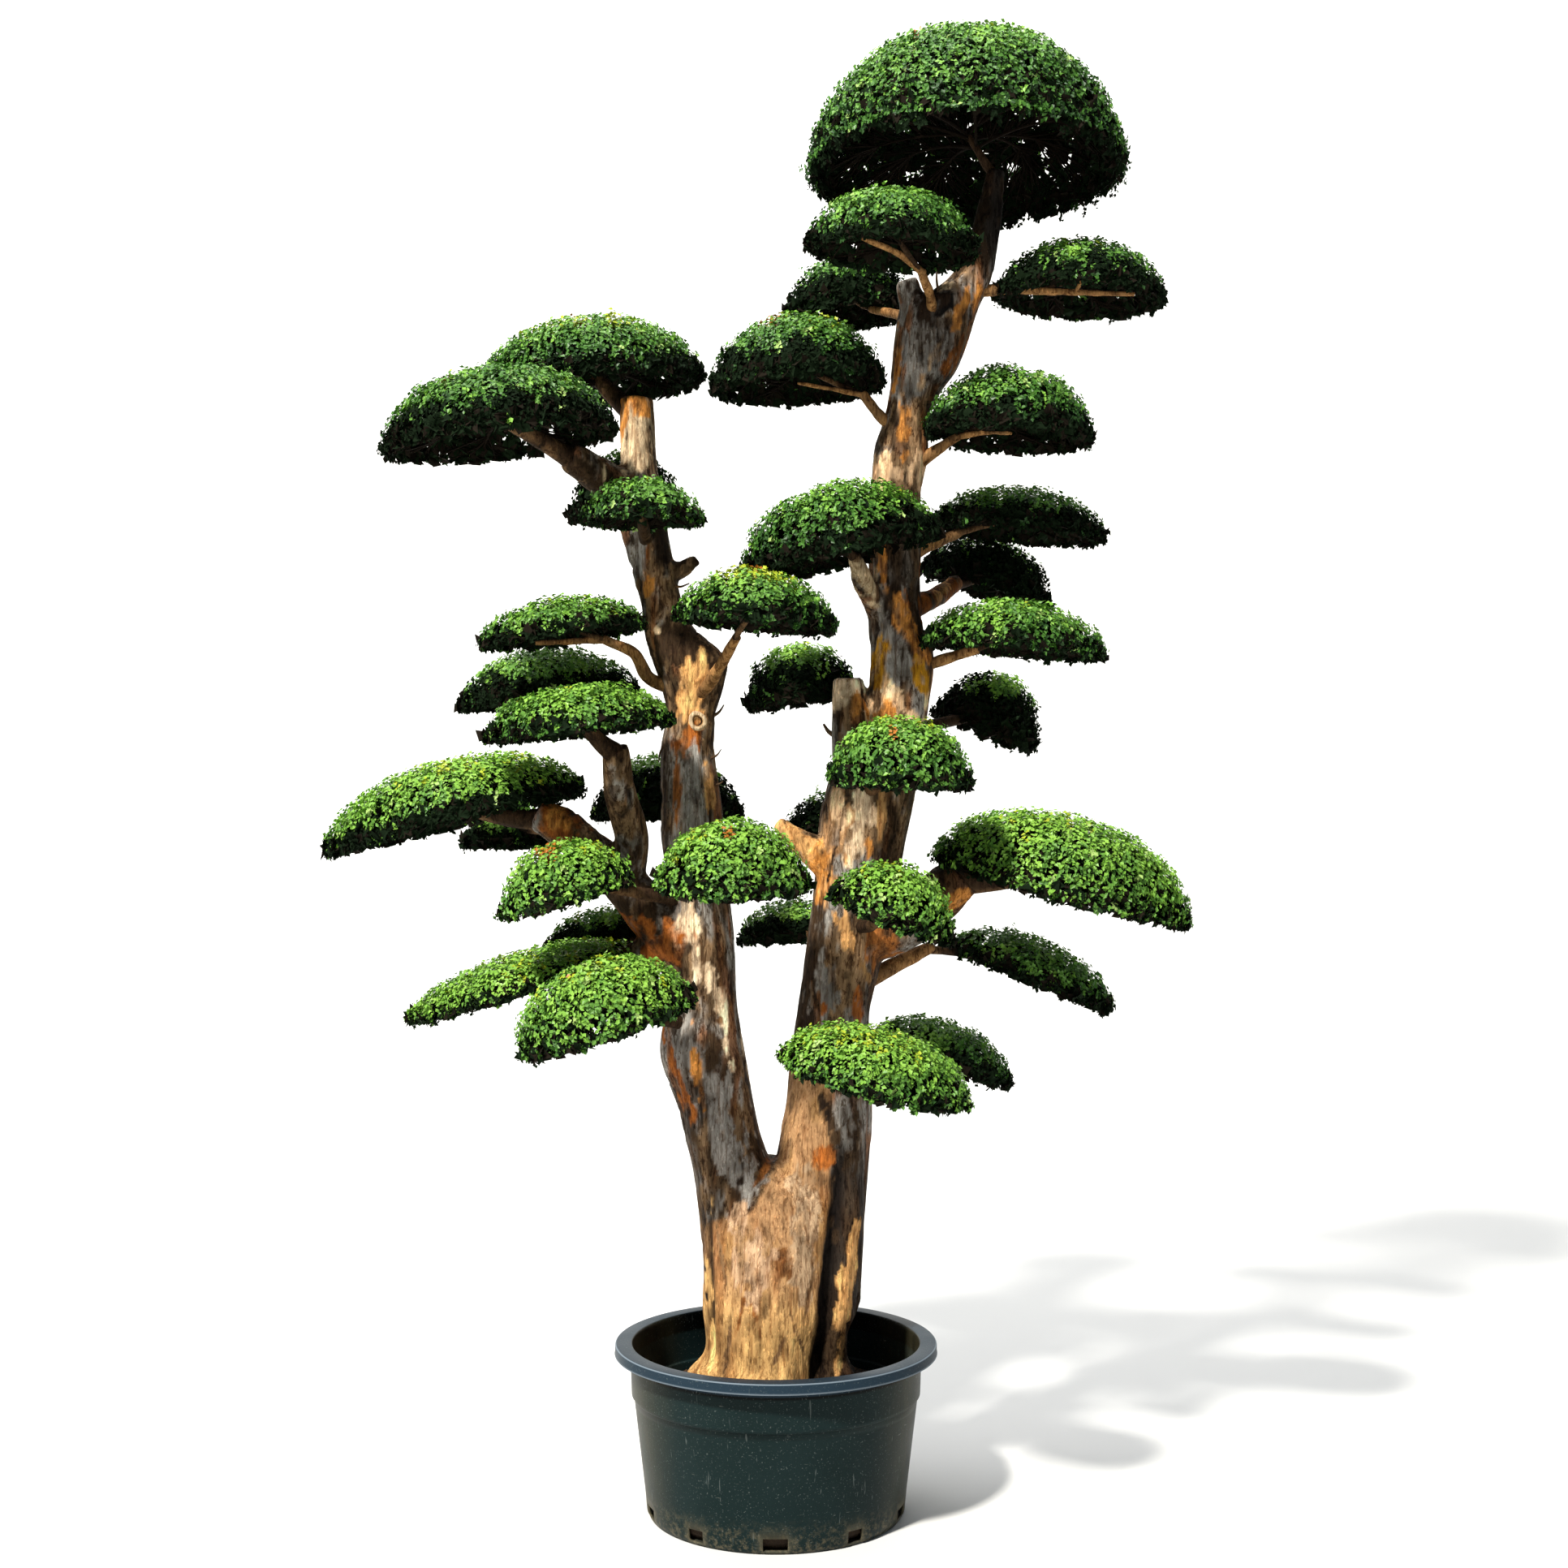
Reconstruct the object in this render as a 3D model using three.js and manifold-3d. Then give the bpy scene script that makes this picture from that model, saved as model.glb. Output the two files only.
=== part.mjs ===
// A Chinese elm in a round plastic tub, trained into two stems with clipped pads of foliage.
// Millimetres, +Z up. The origin is the middle of the tub's flat underside, and the tree faces -Y.
import * as THREE from 'three';
import { mergeVertices } from 'three/addons/utils/BufferGeometryUtils.js';
import Module from 'manifold-3d';

const wasm = await Module();
wasm.setup();

// Space left between two pieces that bear on each other.
const CLEAR = 0.35;

// The tub: outer wall, rolled lip, floor and drain windows.
const POT_HEIGHT = 310;
const POT_BASE_RADIUS = 240;
const POT_STEP_HEIGHT = 234;
const POT_STEP_RADIUS = 264;
const POT_STEP_OUT = 3;
const POT_NECK_RADIUS = 270;
const POT_WALL = 4;
const POT_FLOOR = 5;
const POT_FOOT_ROUND = 12;
const LIP_RADIUS = 301;
const LIP_DROP = 29;
const LIP_WALL = 6;
const LIP_ROUND = 10;
const POT_SIDES = 32;
const DRAIN_COUNT = 10;
const DRAIN_WIDE = 44;
const DRAIN_NARROW = 28;
const DRAIN_LOW = 8;
const DRAIN_HIGH = 30;

// The potting mix: level where the trunk stands, falling a little to the wall.
const SOIL_LEVEL = 215;
const SOIL_FLAT_RADIUS = 226;
const SOIL_FALL = 7;

// Wood: how many sides each kind of limb has, and how deep the flutes of the bark are.
const STEM_SIDES = 12;
const BOUGH_SIDES = 7;
const PAD_STEM_SIDES = 5;
const TWIG_SIDES = 3;
const FLUTE_LONG = 0.035;
const FLUTE_SHORT = 0.022;
const FLARE_DEPTH = 0.1;
const FLARE_TOP = 320;
const FORK_CUT = 760;

// Foliage: each leaf here stands for a spray of the tree's small leaves.
const CORE_PLAN = 0.88;
const CORE_DOME = 0.84;
const CORE_RINGS = [1, 0.84, 0.48];
const CORE_SWELL = 0.06;
const CORE_SIDES = 8;
const WIDE_PAD_HALF = 150;
const WIDE_PAD_EXTRA_SIDES = 2;
const TALL_PAD_DOME = 200;
const TALL_PAD_EXTRA_SIDES = 5;
const HOLLOW = 0.3;
const DOME_POWER = 2.2;
const LEAF_LENGTH = 74;
const LEAF_LENGTH_SPREAD = 0.2;
const LEAF_WIDTH = 44;
const LEAF_BELLY = 0.55;
const LEAF_THICK = 7;
const LEAF_SPIN = 0.5;
const LEAF_RISE = 1.3;
const LEAF_DROOP = 0.3;
const LEAF_LIFT = 0.1;
const RIM_SHARE = 0.99;
const RIM_PITCH = 160;
const DOME_REACH = 0.85;
const DOME_AREA = 8500;

// Twigs and the pad's own stem, as shares of the way from the root to the hub or of the pad's size.
const TWIG_RADIUS = 5.5;
const TWIG_TAPER = 0.6;
const TWIG_START = 0.62;
const TWIG_START_STEP = 0.1;
const TWIG_REACH = 0.5;
const TWIG_REACH_SPREAD = 0.2;
const TWIG_BITE = 0.08;
const HUB_BITE = 0.06;
const TIP_ROOT = 0.94;
const SIDE_ROOT = 0.7;
const TIP_ROOT_SHARE = 0.75;
const STEM_TOP_SHARE = 0.7;
const STEM_ROOT_RADIUS = 15;
const SIDE_ROOT_RADIUS = 12;

// Room kept between foliage and the limbs or pads near it, while leaves and twigs are picked.
const PAD_ROOM = 0.03;
const LIMB_ROOM = 5;
const LIMB_BALLS = 16;
const STEM_ROOM = 8;
const STEM_BALL_PITCH = 20;
const SMOOTHING = 0.02;
const SEED = 600;
const GOLDEN_ANGLE = Math.PI * (3 - Math.sqrt(5));

// Stations of the upright wood: height, middle (x, y) and half widths (across, deep).
const TRUNK_BODY = [
  [SOIL_LEVEL + CLEAR, -18, 0, 158, 142],
  [238, -14, 0, 155, 138],
  [260, -11, 0, 151, 132],
  [294, -3, 0, 132, 122],
  [335, 0, 0, 133, 120],
  [380, 8, 0, 144, 122],
  [455, 10, 0, 146, 122],
  [540, 10, 0, 153, 118],
  [600, 9, 0, 148, 104],
  [652, 8, 0, 92, 58],
];
const TRUNK_LEFT_ARM = [
  [450, -62, 0, 70, 80],
  [540, -72, 0, 73, 84],
  [635, -82, 0, 74, 80],
  [700, -98, 0, 71, 74],
  [FORK_CUT, -110, 0, 74, 70],
];
const TRUNK_RIGHT_ARM = [
  [450, 72, 0, 78, 84],
  [540, 82, 0, 83, 86],
  [635, 86, 0, 85, 84],
  [700, 94, 0, 83, 80],
  [FORK_CUT, 102, 0, 81, 74],
];
const LEFT_STEM = [
  [FORK_CUT + CLEAR, -110, 0, 74, 70],
  [846, -132, 0, 79, 70],
  [922, -135, -2, 70, 64],
  [1040, -133, -4, 60, 58],
  [1220, -156, -2, 58, 56],
  [1300, -158, 0, 57, 55],
  [1410, -166, 2, 51, 50],
  [1480, -158, 0, 46, 48],
  [1540, -156, -2, 60, 54],
  [1588, -163, -4, 70, 56],
  [1640, -198, -4, 46, 46],
  [1700, -216, -2, 39, 40],
  [1850, -250, 8, 45, 42],
  [1915, -260, 10, 45, 40],
  [1950, -257, 12, 34, 33],
  [2075, -262, 20, 31, 30],
];
const RIGHT_STEM = [
  [FORK_CUT + CLEAR, 102, 0, 81, 74],
  [850, 106, 0, 76, 70],
  [922, 108, 0, 68, 66],
  [1000, 121, 0, 71, 68],
  [1106, 134, 0, 73, 70],
  [1184, 148, 0, 79, 70],
  [1333, 173, 0, 86, 70],
  [1400, 194, 0, 78, 66],
  [1460, 222, 0, 62, 60],
  [1590, 233, 0, 58, 56],
  [1645, 222, 0, 50, 50],
  [1850, 222, 0, 47, 46],
  [1970, 234, 0, 49, 46],
  [2022, 241, 0, 42, 42],
  [2076, 257, 0, 46, 44],
  [2131, 279, 0, 62, 50],
  [2238, 304, 0, 72, 50],
  [2268, 336, 4, 52, 40],
  [2330, 378, 8, 30, 28],
  [2500, 412, 15, 15, 15],
];

// Short sawn stubs that stay on a stem: points along the middle, then the radius at each end.
const STUBS = {
  left_stem: [
    { through: [[-222, 0, 1735], [-180, -3, 1750], [-148, -5, 1770]], radius: [24, 10] },
  ],
  right_stem: [
    { through: [[158, -12, 1320], [140, -20, 1440], [133, -26, 1548]], radius: [50, 28] },
    { through: [[110, -18, 1195], [55, -24, 1238], [2, -27, 1278]], radius: [40, 12] },
    { through: [[285, 0, 2190], [258, -3, 2240], [243, -6, 2288]], radius: [34, 20] },
  ],
};

// Boughs: points along the middle of each, starting inside the wood it grows from, and the radius at
// each end.
const BOUGHS = [
  { name: 'bough_left_low', through: [[-140, 0, 1035], [-210, 0, 1085], [-300, 0, 1185], [-392, 0, 1272]],
    radius: [56, 26] },
  { name: 'bough_left_upright', through: [[-276, -6, 1165], [-268, -26, 1245], [-286, -52, 1335],
      [-293, -84, 1420]],
    radius: [26, 20] },
  { name: 'bough_left_lower', through: [[-134, 0, 990], [-205, 8, 1028], [-270, 18, 1040]],
    radius: [38, 24] },
  { name: 'bough_left_top', through: [[-250, 4, 1870], [-318, -20, 1918], [-380, -62, 1950]],
    radius: [42, 27] },
  { name: 'bough_left_cranked', through: [[-160, 0, 1525], [-232, -18, 1545], [-262, -34, 1592],
      [-318, -48, 1618]],
    radius: [15, 8] },
  { name: 'bough_left_prop', through: [[-158, -6, 1500], [-114, -76, 1545], [-70, -158, 1612]],
    radius: [15, 8] },
  { name: 'bough_right_low', through: [[148, 0, 1075], [225, -6, 1088], [290, -16, 1136], [345, -28, 1182]],
    radius: [60, 40] },
  { name: 'bough_right_lower', through: [[118, 0, 955], [200, 22, 1000], [296, 72, 1044]],
    radius: [22, 12] },
  { name: 'bough_right_hook', through: [[292, 0, 2195], [284, -62, 2240], [262, -106, 2282]],
    radius: [12, 7] },
  { name: 'bough_right_back', through: [[296, 0, 2215], [236, 62, 2240], [182, 128, 2268]],
    radius: [12, 7] },
  { name: 'bough_right_long', through: [[356, 4, 2268], [425, 10, 2276], [500, 16, 2274]],
    radius: [13, 7] },
  { name: 'bough_right_short', through: [[245, 0, 1992], [196, -6, 2034], [160, -9, 2078]],
    radius: [14, 8] },
  { name: 'bough_right_strut', through: [[236, 0, 1925], [286, -20, 1962], [336, -38, 1992]],
    radius: [15, 8] },
  { name: 'bough_right_pale', through: [[204, 0, 1660], [166, -46, 1712], [144, -82, 1768]],
    radius: [30, 13] },
  { name: 'bough_right_wing', through: [[218, 0, 1760], [276, 36, 1795], [350, 84, 1832]],
    radius: [16, 9] },
  { name: 'bough_right_rear', through: [[220, 0, 1672], [292, 72, 1702], [352, 178, 1746]],
    radius: [26, 14] },
  { name: 'bough_right_shelf', through: [[232, 0, 1558], [300, -22, 1578], [372, -44, 1600]],
    radius: [14, 8] },
];

// Pads of foliage: middle of the rim, size along, size deep and height of the dome, and how far the pad
// slopes down to +X and nods down to -Y in degrees. Each grows from the tip of a limb, from the side of
// a bough, or from a stem at a height. Growth picks another run of the seeded rule.
const PADS = [
  { name: 'pad_left_01', at: [-342, 95, 2096], size: [423, 317, 147], slope: -5, tip: 'left_stem' },
  { name: 'pad_left_02', at: [-493, -150, 1951], size: [427, 307, 149], slope: -6, tip: 'bough_left_top' },
  { name: 'pad_left_03', at: [-289, 170, 1861], size: [225, 191, 143], slope: 0,
    stem: ['left_stem', 1850] },
  { name: 'pad_left_04', at: [-238, -150, 1814], size: [221, 188, 88], slope: 0,
    stem: ['left_stem', 1795] },
  { name: 'pad_left_05', at: [-34, -235, 1619], size: [293, 205, 107], slope: 5, tip: 'bough_left_prop' },
  { name: 'pad_left_06', at: [-389, -60, 1614], size: [317, 238, 83], slope: -8, tip: 'bough_left_cranked',
    growth: 105 },
  { name: 'pad_left_07', at: [-440, 170, 1504], size: [353, 265, 119], slope: -4,
    stem: ['left_stem', 1480] },
  { name: 'pad_left_08', at: [-351, -150, 1435], size: [349, 244, 95], slope: -6,
    tip: 'bough_left_upright' },
  { name: 'pad_left_09', at: [-593, 0, 1270], size: [500, 310, 132], slope: -14, tip: 'bough_left_low' },
  { name: 'pad_left_10', at: [-528, 245, 1224], size: [193, 164, 100], slope: 0, side: 'bough_left_low' },
  { name: 'pad_left_11', at: [-217, 250, 1281], size: [306, 245, 132], slope: 0,
    stem: ['left_stem', 1262] },
  { name: 'pad_left_12', at: [-369, -160, 1138], size: [250, 200, 114], slope: -16, nod: 5,
    stem: ['left_stem', 1128] },
  { name: 'pad_left_13', at: [-75, -260, 1161], size: [276, 234, 128], slope: 0, nod: 8,
    stem: ['left_stem', 1140] },
  { name: 'pad_left_14', at: [-346, 195, 1037], size: [228, 194, 76], slope: -12,
    stem: ['left_stem', 1035] },
  { name: 'pad_left_15', at: [-472, 15, 963], size: [459, 266, 77], slope: -17, nod: 2,
    tip: 'bough_left_lower' },
  { name: 'pad_left_16', at: [-291, -230, 913], size: [333, 240, 134], slope: -18, nod: 6,
    stem: ['left_stem', 900] },
  { name: 'pad_right_01', at: [358, 30, 2479], size: [606, 576, 283], slope: 0, nod: -5,
    tip: 'right_stem' },
  { name: 'pad_right_02', at: [207, -190, 2283], size: [308, 261, 122], slope: 3, tip: 'bough_right_hook' },
  { name: 'pad_right_03', at: [147, 190, 2263], size: [259, 233, 123], slope: -4, tip: 'bough_right_back' },
  { name: 'pad_right_04', at: [567, 20, 2251], size: [324, 292, 119], slope: 3, tip: 'bough_right_long' },
  { name: 'pad_right_05', at: [42, -10, 2078], size: [326, 293, 146], slope: -2, tip: 'bough_right_short' },
  { name: 'pad_right_06', at: [428, -60, 1977], size: [314, 267, 140], slope: 4, tip: 'bough_right_strut' },
  { name: 'pad_right_07', at: [123, -125, 1747], size: [385, 246, 148], slope: -14,
    tip: 'bough_right_pale' },
  { name: 'pad_right_08', at: [465, 130, 1830], size: [341, 256, 97], slope: 6, tip: 'bough_right_wing' },
  { name: 'pad_right_09', at: [413, 290, 1737], size: [272, 231, 119], slope: 18, tip: 'bough_right_rear' },
  { name: 'pad_right_10', at: [435, -60, 1588], size: [345, 242, 103], slope: 5, tip: 'bough_right_shelf' },
  { name: 'pad_right_11', at: [51, 120, 1504], size: [224, 190, 124], slope: -8,
    stem: ['right_stem', 1490] },
  { name: 'pad_right_12', at: [402, 190, 1448], size: [218, 185, 133], slope: 22,
    stem: ['right_stem', 1440] },
  { name: 'pad_right_13', at: [217, -235, 1342], size: [257, 218, 127], slope: 2, nod: 5,
    stem: ['right_stem', 1330] },
  { name: 'pad_right_14', at: [522, -40, 1141], size: [502, 311, 157], slope: 15, nod: 4,
    tip: 'bough_right_low' },
  { name: 'pad_right_15', at: [195, -240, 1105], size: [229, 160, 111], slope: 22, nod: 6,
    stem: ['right_stem', 1090] },
  { name: 'pad_right_16', at: [482, 130, 970], size: [350, 245, 93], slope: 22, tip: 'bough_right_lower' },
  { name: 'pad_right_17', at: [321, 230, 797], size: [295, 221, 95], slope: 20, stem: ['right_stem', 800] },
  { name: 'pad_right_18', at: [169, -260, 825], size: [356, 256, 104], slope: 14, nod: 8,
    stem: ['right_stem', 810] },
  { name: 'pad_right_19', at: [113, 270, 1236], size: [208, 167, 108], slope: 0,
    stem: ['right_stem', 1230] },
  { name: 'pad_right_20', at: [39, 250, 1044], size: [224, 180, 85], slope: -5,
    stem: ['right_stem', 1040] },
];

const POT_PLASTIC = new THREE.MeshStandardMaterial({ color: 0x22282c, roughness: 0.5, metalness: 0 });
const POTTING_MIX = new THREE.MeshStandardMaterial({ color: 0x241a12, roughness: 0.95, metalness: 0 });
const BARK = new THREE.MeshStandardMaterial({ color: 0x8d6c4c, roughness: 0.85, metalness: 0 });
const FOLIAGE = new THREE.MeshStandardMaterial({ color: 0x3b6b22, roughness: 0.6, metalness: 0 });

const vector = (x, y, z) => new THREE.Vector3(x, y, z);

// A repeatable stream of numbers from 0 to 1.
function seededRandom(seed) {
  let state = seed;
  return () => {
    state = (Math.imul(state, 1664525) + 1013904223) >>> 0;
    return state / 4294967296;
  };
}

// Closed mesh to solid, and back to a drawable geometry.
function toSolid(geometry) {
  const bare = new THREE.BufferGeometry();
  bare.setAttribute('position', geometry.getAttribute('position').clone());
  bare.setIndex(geometry.getIndex());
  const merged = mergeVertices(bare, 1e-4);
  return new wasm.Manifold(new wasm.Mesh({
    numProp: 3,
    vertProperties: new Float32Array(merged.getAttribute('position').array),
    triVerts: new Uint32Array(merged.getIndex().array),
  }));
}

// Of the pieces a cut leaves, the largest one.
function largestPiece(solid) {
  const pieces = solid.decompose();
  return pieces.reduce((best, piece) => (piece.volume() > best.volume() ? piece : best));
}

function toGeometry(solid) {
  const mesh = largestPiece(solid.simplify(SMOOTHING)).getMesh();
  const geometry = new THREE.BufferGeometry();
  geometry.setAttribute('position', new THREE.BufferAttribute(new Float32Array(mesh.vertProperties), 3));
  geometry.setIndex(new THREE.BufferAttribute(new Uint32Array(mesh.triVerts), 1));
  geometry.computeVertexNormals();
  return geometry;
}

function joined(solids) {
  return solids.reduce((sum, solid) => sum.add(solid));
}

// A closed skin over rings of points, each end closed by a fan to its middle point.
function skinOver(rings, first, last) {
  const sides = rings[0].length;
  const points = [...rings.flat(), first, last];
  const firstIndex = rings.length * sides;
  const lastIndex = firstIndex + 1;
  const top = firstIndex - sides;
  const faces = [];
  for (let side = 0; side < sides; side += 1) {
    const next = (side + 1) % sides;
    faces.push(firstIndex, next, side);
    faces.push(lastIndex, top + side, top + next);
    for (let ring = 0; ring < rings.length - 1; ring += 1) {
      const low = ring * sides;
      const high = low + sides;
      faces.push(low + side, low + next, high + next);
      faces.push(low + side, high + next, high + side);
    }
  }
  const geometry = new THREE.BufferGeometry().setFromPoints(points);
  geometry.setIndex(faces);
  return toSolid(geometry);
}

// Flutes of the bark: the radius at an angle and height as a share of the plain one.
function flutes(angle, height) {
  const flare = Math.max(0, 1 - (height - SOIL_LEVEL) / (FLARE_TOP - SOIL_LEVEL));
  const long = FLUTE_LONG * Math.sin(3 * angle + height / 170);
  const short = FLUTE_SHORT * Math.sin(5 * angle - height / 110);
  return 1 + long + short + FLARE_DEPTH * flare * Math.cos(5 * angle + 1.2);
}

// Upright wood as level slices through its stations. Grow makes it stouter all round.
function uprightWood(stations, grow = 0) {
  const ends = [stations[0], stations[stations.length - 1]];
  const rings = stations.map(([height, x, y, across, deep], index) => {
    const rise = grow * (Number(index === stations.length - 1) - Number(index === 0));
    return Array.from({ length: STEM_SIDES }, (_, side) => {
      const angle = (2 * Math.PI * side) / STEM_SIDES;
      const share = flutes(angle, height);
      const right = (across * share + grow) * Math.cos(angle);
      const back = (deep * share + grow) * Math.sin(angle);
      return vector(x + right, y + back, height + rise);
    });
  });
  const middles = ends.map(([height, x, y], index) => vector(x, y, height + grow * (2 * index - 1)));
  return skinOver(rings, middles[0], middles[1]);
}

// A tapering limb round a smooth curve through its points.
function limb({ through, radius }, sides, grow = 0) {
  const curve = new THREE.CatmullRomCurve3(through.map((point) => vector(...point)));
  const steps = Math.max(1, (through.length - 1) * 2);
  const frames = curve.computeFrenetFrames(steps, false);
  const rings = [];
  for (let step = 0; step <= steps; step += 1) {
    const share = step / steps;
    const thick = THREE.MathUtils.lerp(radius[0], radius[1], share) + grow;
    const middle = curve.getPointAt(share);
    const shift = grow * (Number(step === steps) - Number(step === 0));
    middle.addScaledVector(frames.tangents[step], shift);
    rings.push({ middle, points: Array.from({ length: sides }, (_, side) => {
      const angle = (2 * Math.PI * side) / sides;
      return middle.clone()
        .addScaledVector(frames.normals[step], thick * Math.cos(angle))
        .addScaledVector(frames.binormals[step], thick * Math.sin(angle));
    }) });
  }
  return skinOver(rings.map((ring) => ring.points), rings[0].middle, rings[rings.length - 1].middle);
}

// Two points joined by a straight tapering twig.
function twig(from, to, thick, thin, sides) {
  const along = to.clone().sub(from).normalize();
  const right = vector(0, 0, 1).cross(along).normalize();
  const over = along.clone().cross(right);
  const ring = (middle, radius) => Array.from({ length: sides }, (_, side) => {
    const angle = (2 * Math.PI * side) / sides;
    return middle.clone()
      .addScaledVector(right, radius * Math.cos(angle))
      .addScaledVector(over, radius * Math.sin(angle));
  });
  return skinOver([ring(from, thick), ring(to, thin)], from, to);
}

// The middle of a stem at a height.
function stemMiddle(stations, height) {
  const above = stations.findIndex((station) => station[0] >= height);
  const [lowZ, lowX, lowY] = stations[above - 1];
  const [highZ, highX, highY] = stations[above];
  const share = (height - lowZ) / (highZ - lowZ);
  return vector(THREE.MathUtils.lerp(lowX, highX, share), THREE.MathUtils.lerp(lowY, highY, share), height);
}

// The tub's inner wall radius at a height below the lip.
function potWallRadius(height) {
  const share = (height - POT_FOOT_ROUND) / (POT_STEP_HEIGHT - POT_FOOT_ROUND);
  return THREE.MathUtils.lerp(POT_BASE_RADIUS, POT_STEP_RADIUS, share) - POT_WALL;
}

// A quarter round between two directions, as profile points of radius and height.
function roundCorner(radius, height, size, fromAngle, toAngle, steps = 2) {
  return Array.from({ length: steps + 1 }, (_, step) => {
    const angle = THREE.MathUtils.lerp(fromAngle, toAngle, step / steps);
    return new THREE.Vector2(radius + size * Math.cos(angle), height + size * Math.sin(angle));
  });
}

// A profile of radius and height turned round the upright axis.
function turned(profile, sides) {
  const geometry = new THREE.LatheGeometry(profile, sides);
  geometry.rotateX(Math.PI / 2);
  return toSolid(geometry);
}

function potSolid() {
  const quarter = Math.PI / 2;
  const flat = (radius, height) => new THREE.Vector2(radius, height);
  const lipInside = LIP_RADIUS - LIP_WALL;
  const lipLow = POT_HEIGHT - LIP_DROP;
  const footMiddle = POT_BASE_RADIUS - POT_FOOT_ROUND;
  const profile = [
    flat(0, 0),
    ...roundCorner(footMiddle, POT_FOOT_ROUND, POT_FOOT_ROUND, -quarter, 0),
    flat(POT_STEP_RADIUS, POT_STEP_HEIGHT),
    flat(POT_STEP_RADIUS + POT_STEP_OUT, POT_STEP_HEIGHT + POT_STEP_OUT),
    flat(POT_NECK_RADIUS, POT_HEIGHT - LIP_WALL),
    flat(lipInside - 1, POT_HEIGHT - LIP_WALL - 2),
    flat(lipInside, lipLow),
    flat(LIP_RADIUS, lipLow),
    ...roundCorner(LIP_RADIUS - LIP_ROUND, POT_HEIGHT - LIP_ROUND, LIP_ROUND, 0, quarter),
    ...roundCorner(POT_NECK_RADIUS + POT_WALL, POT_HEIGHT - POT_WALL * 2, POT_WALL * 2, quarter, 2 * quarter),
    flat(POT_NECK_RADIUS - POT_WALL, POT_HEIGHT - LIP_DROP),
    flat(POT_STEP_RADIUS + POT_STEP_OUT - POT_WALL, POT_STEP_HEIGHT + POT_STEP_OUT),
    flat(POT_STEP_RADIUS - POT_WALL, POT_STEP_HEIGHT),
    ...roundCorner(footMiddle - POT_WALL, POT_FLOOR + POT_FOOT_ROUND, POT_FOOT_ROUND, 0, -quarter, 1),
    flat(0, POT_FLOOR),
  ];
  const tub = turned(profile, POT_SIDES);
  const windows = Array.from({ length: DRAIN_COUNT }, (_, index) => {
    const width = index % 2 === 0 ? DRAIN_WIDE : DRAIN_NARROW;
    const box = new THREE.BoxGeometry(width, POT_FOOT_ROUND * 3, DRAIN_HIGH - DRAIN_LOW);
    box.translate(0, -POT_BASE_RADIUS, (DRAIN_HIGH + DRAIN_LOW) / 2);
    box.rotateZ((2 * Math.PI * index) / DRAIN_COUNT);
    return toSolid(box);
  });
  return tub.subtract(joined(windows));
}

function soilSolid() {
  const gap = CLEAR * 2;
  const quarter = Math.PI / 2;
  const footMiddle = POT_BASE_RADIUS - POT_FOOT_ROUND - POT_WALL - gap;
  const profile = [
    new THREE.Vector2(0, POT_FLOOR + gap),
    ...roundCorner(footMiddle, POT_FLOOR + POT_FOOT_ROUND + gap, POT_FOOT_ROUND, -quarter, 0, 1),
    new THREE.Vector2(potWallRadius(SOIL_LEVEL - SOIL_FALL) - gap, SOIL_LEVEL - SOIL_FALL),
    new THREE.Vector2(SOIL_FLAT_RADIUS, SOIL_LEVEL),
    new THREE.Vector2(0, SOIL_LEVEL),
  ];
  return turned(profile, POT_SIDES);
}

// The frame of a pad: a point at a share of its half sizes, and at a height over its rim plane.
function padFrame({ at, size, slope, nod = 0 }) {
  const along = vector(1, 0, 0).applyAxisAngle(vector(0, 1, 0), THREE.MathUtils.degToRad(slope));
  const tilt = THREE.MathUtils.degToRad(nod);
  const across = vector(0, Math.cos(tilt), Math.sin(tilt));
  across.addScaledVector(along, -across.dot(along)).normalize();
  const up = along.clone().cross(across);
  const middle = vector(...at);
  const half = [size[0] / 2, size[1] / 2];
  const place = (share, angle, height) => middle.clone()
    .addScaledVector(along, half[0] * share * Math.cos(angle))
    .addScaledVector(across, half[1] * share * Math.sin(angle))
    .addScaledVector(up, height);
  const locate = (point) => {
    const offset = point.clone().sub(middle);
    const share = Math.hypot(offset.dot(along) / half[0], offset.dot(across) / half[1]);
    return { share, height: offset.dot(up) };
  };
  return { along, across, up, middle, half, dome: size[2], place, locate };
}

// Height of the clipped dome over its rim plane, at a share of the way out to the rim.
function domeHeight(frame, share) {
  return frame.dome * Math.sqrt(Math.max(0, 1 - share ** DOME_POWER));
}

// Whether a point lies in the space that a pad keeps to.
function insideSpace(frame, point, room) {
  const { share, height } = frame.locate(point);
  const spare = room * frame.dome;
  const top = domeHeight(frame, share / (1 + room)) + spare;
  return share < 1 + room && height > -spare && height < top;
}

// The dense inside of a pad: a dome over a hollow underside, a little smaller than the outline.
function padCore(frame, random) {
  const wideExtra = frame.half[0] > WIDE_PAD_HALF ? WIDE_PAD_EXTRA_SIDES : 0;
  const tallExtra = frame.dome > TALL_PAD_DOME ? TALL_PAD_EXTRA_SIDES : 0;
  const sides = CORE_SIDES + wideExtra + tallExtra;
  const swell = Array.from({ length: sides }, () => 1 + CORE_SWELL * (random() - 0.5));
  const rings = CORE_RINGS.map((share) => swell.map((size, side) => {
    const angle = (2 * Math.PI * side) / sides;
    return frame.place(CORE_PLAN * share * size, angle, CORE_DOME * domeHeight(frame, share));
  }));
  return skinOver(rings, frame.place(0, 0, HOLLOW * frame.dome), frame.place(0, 0, CORE_DOME * frame.dome));
}

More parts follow.
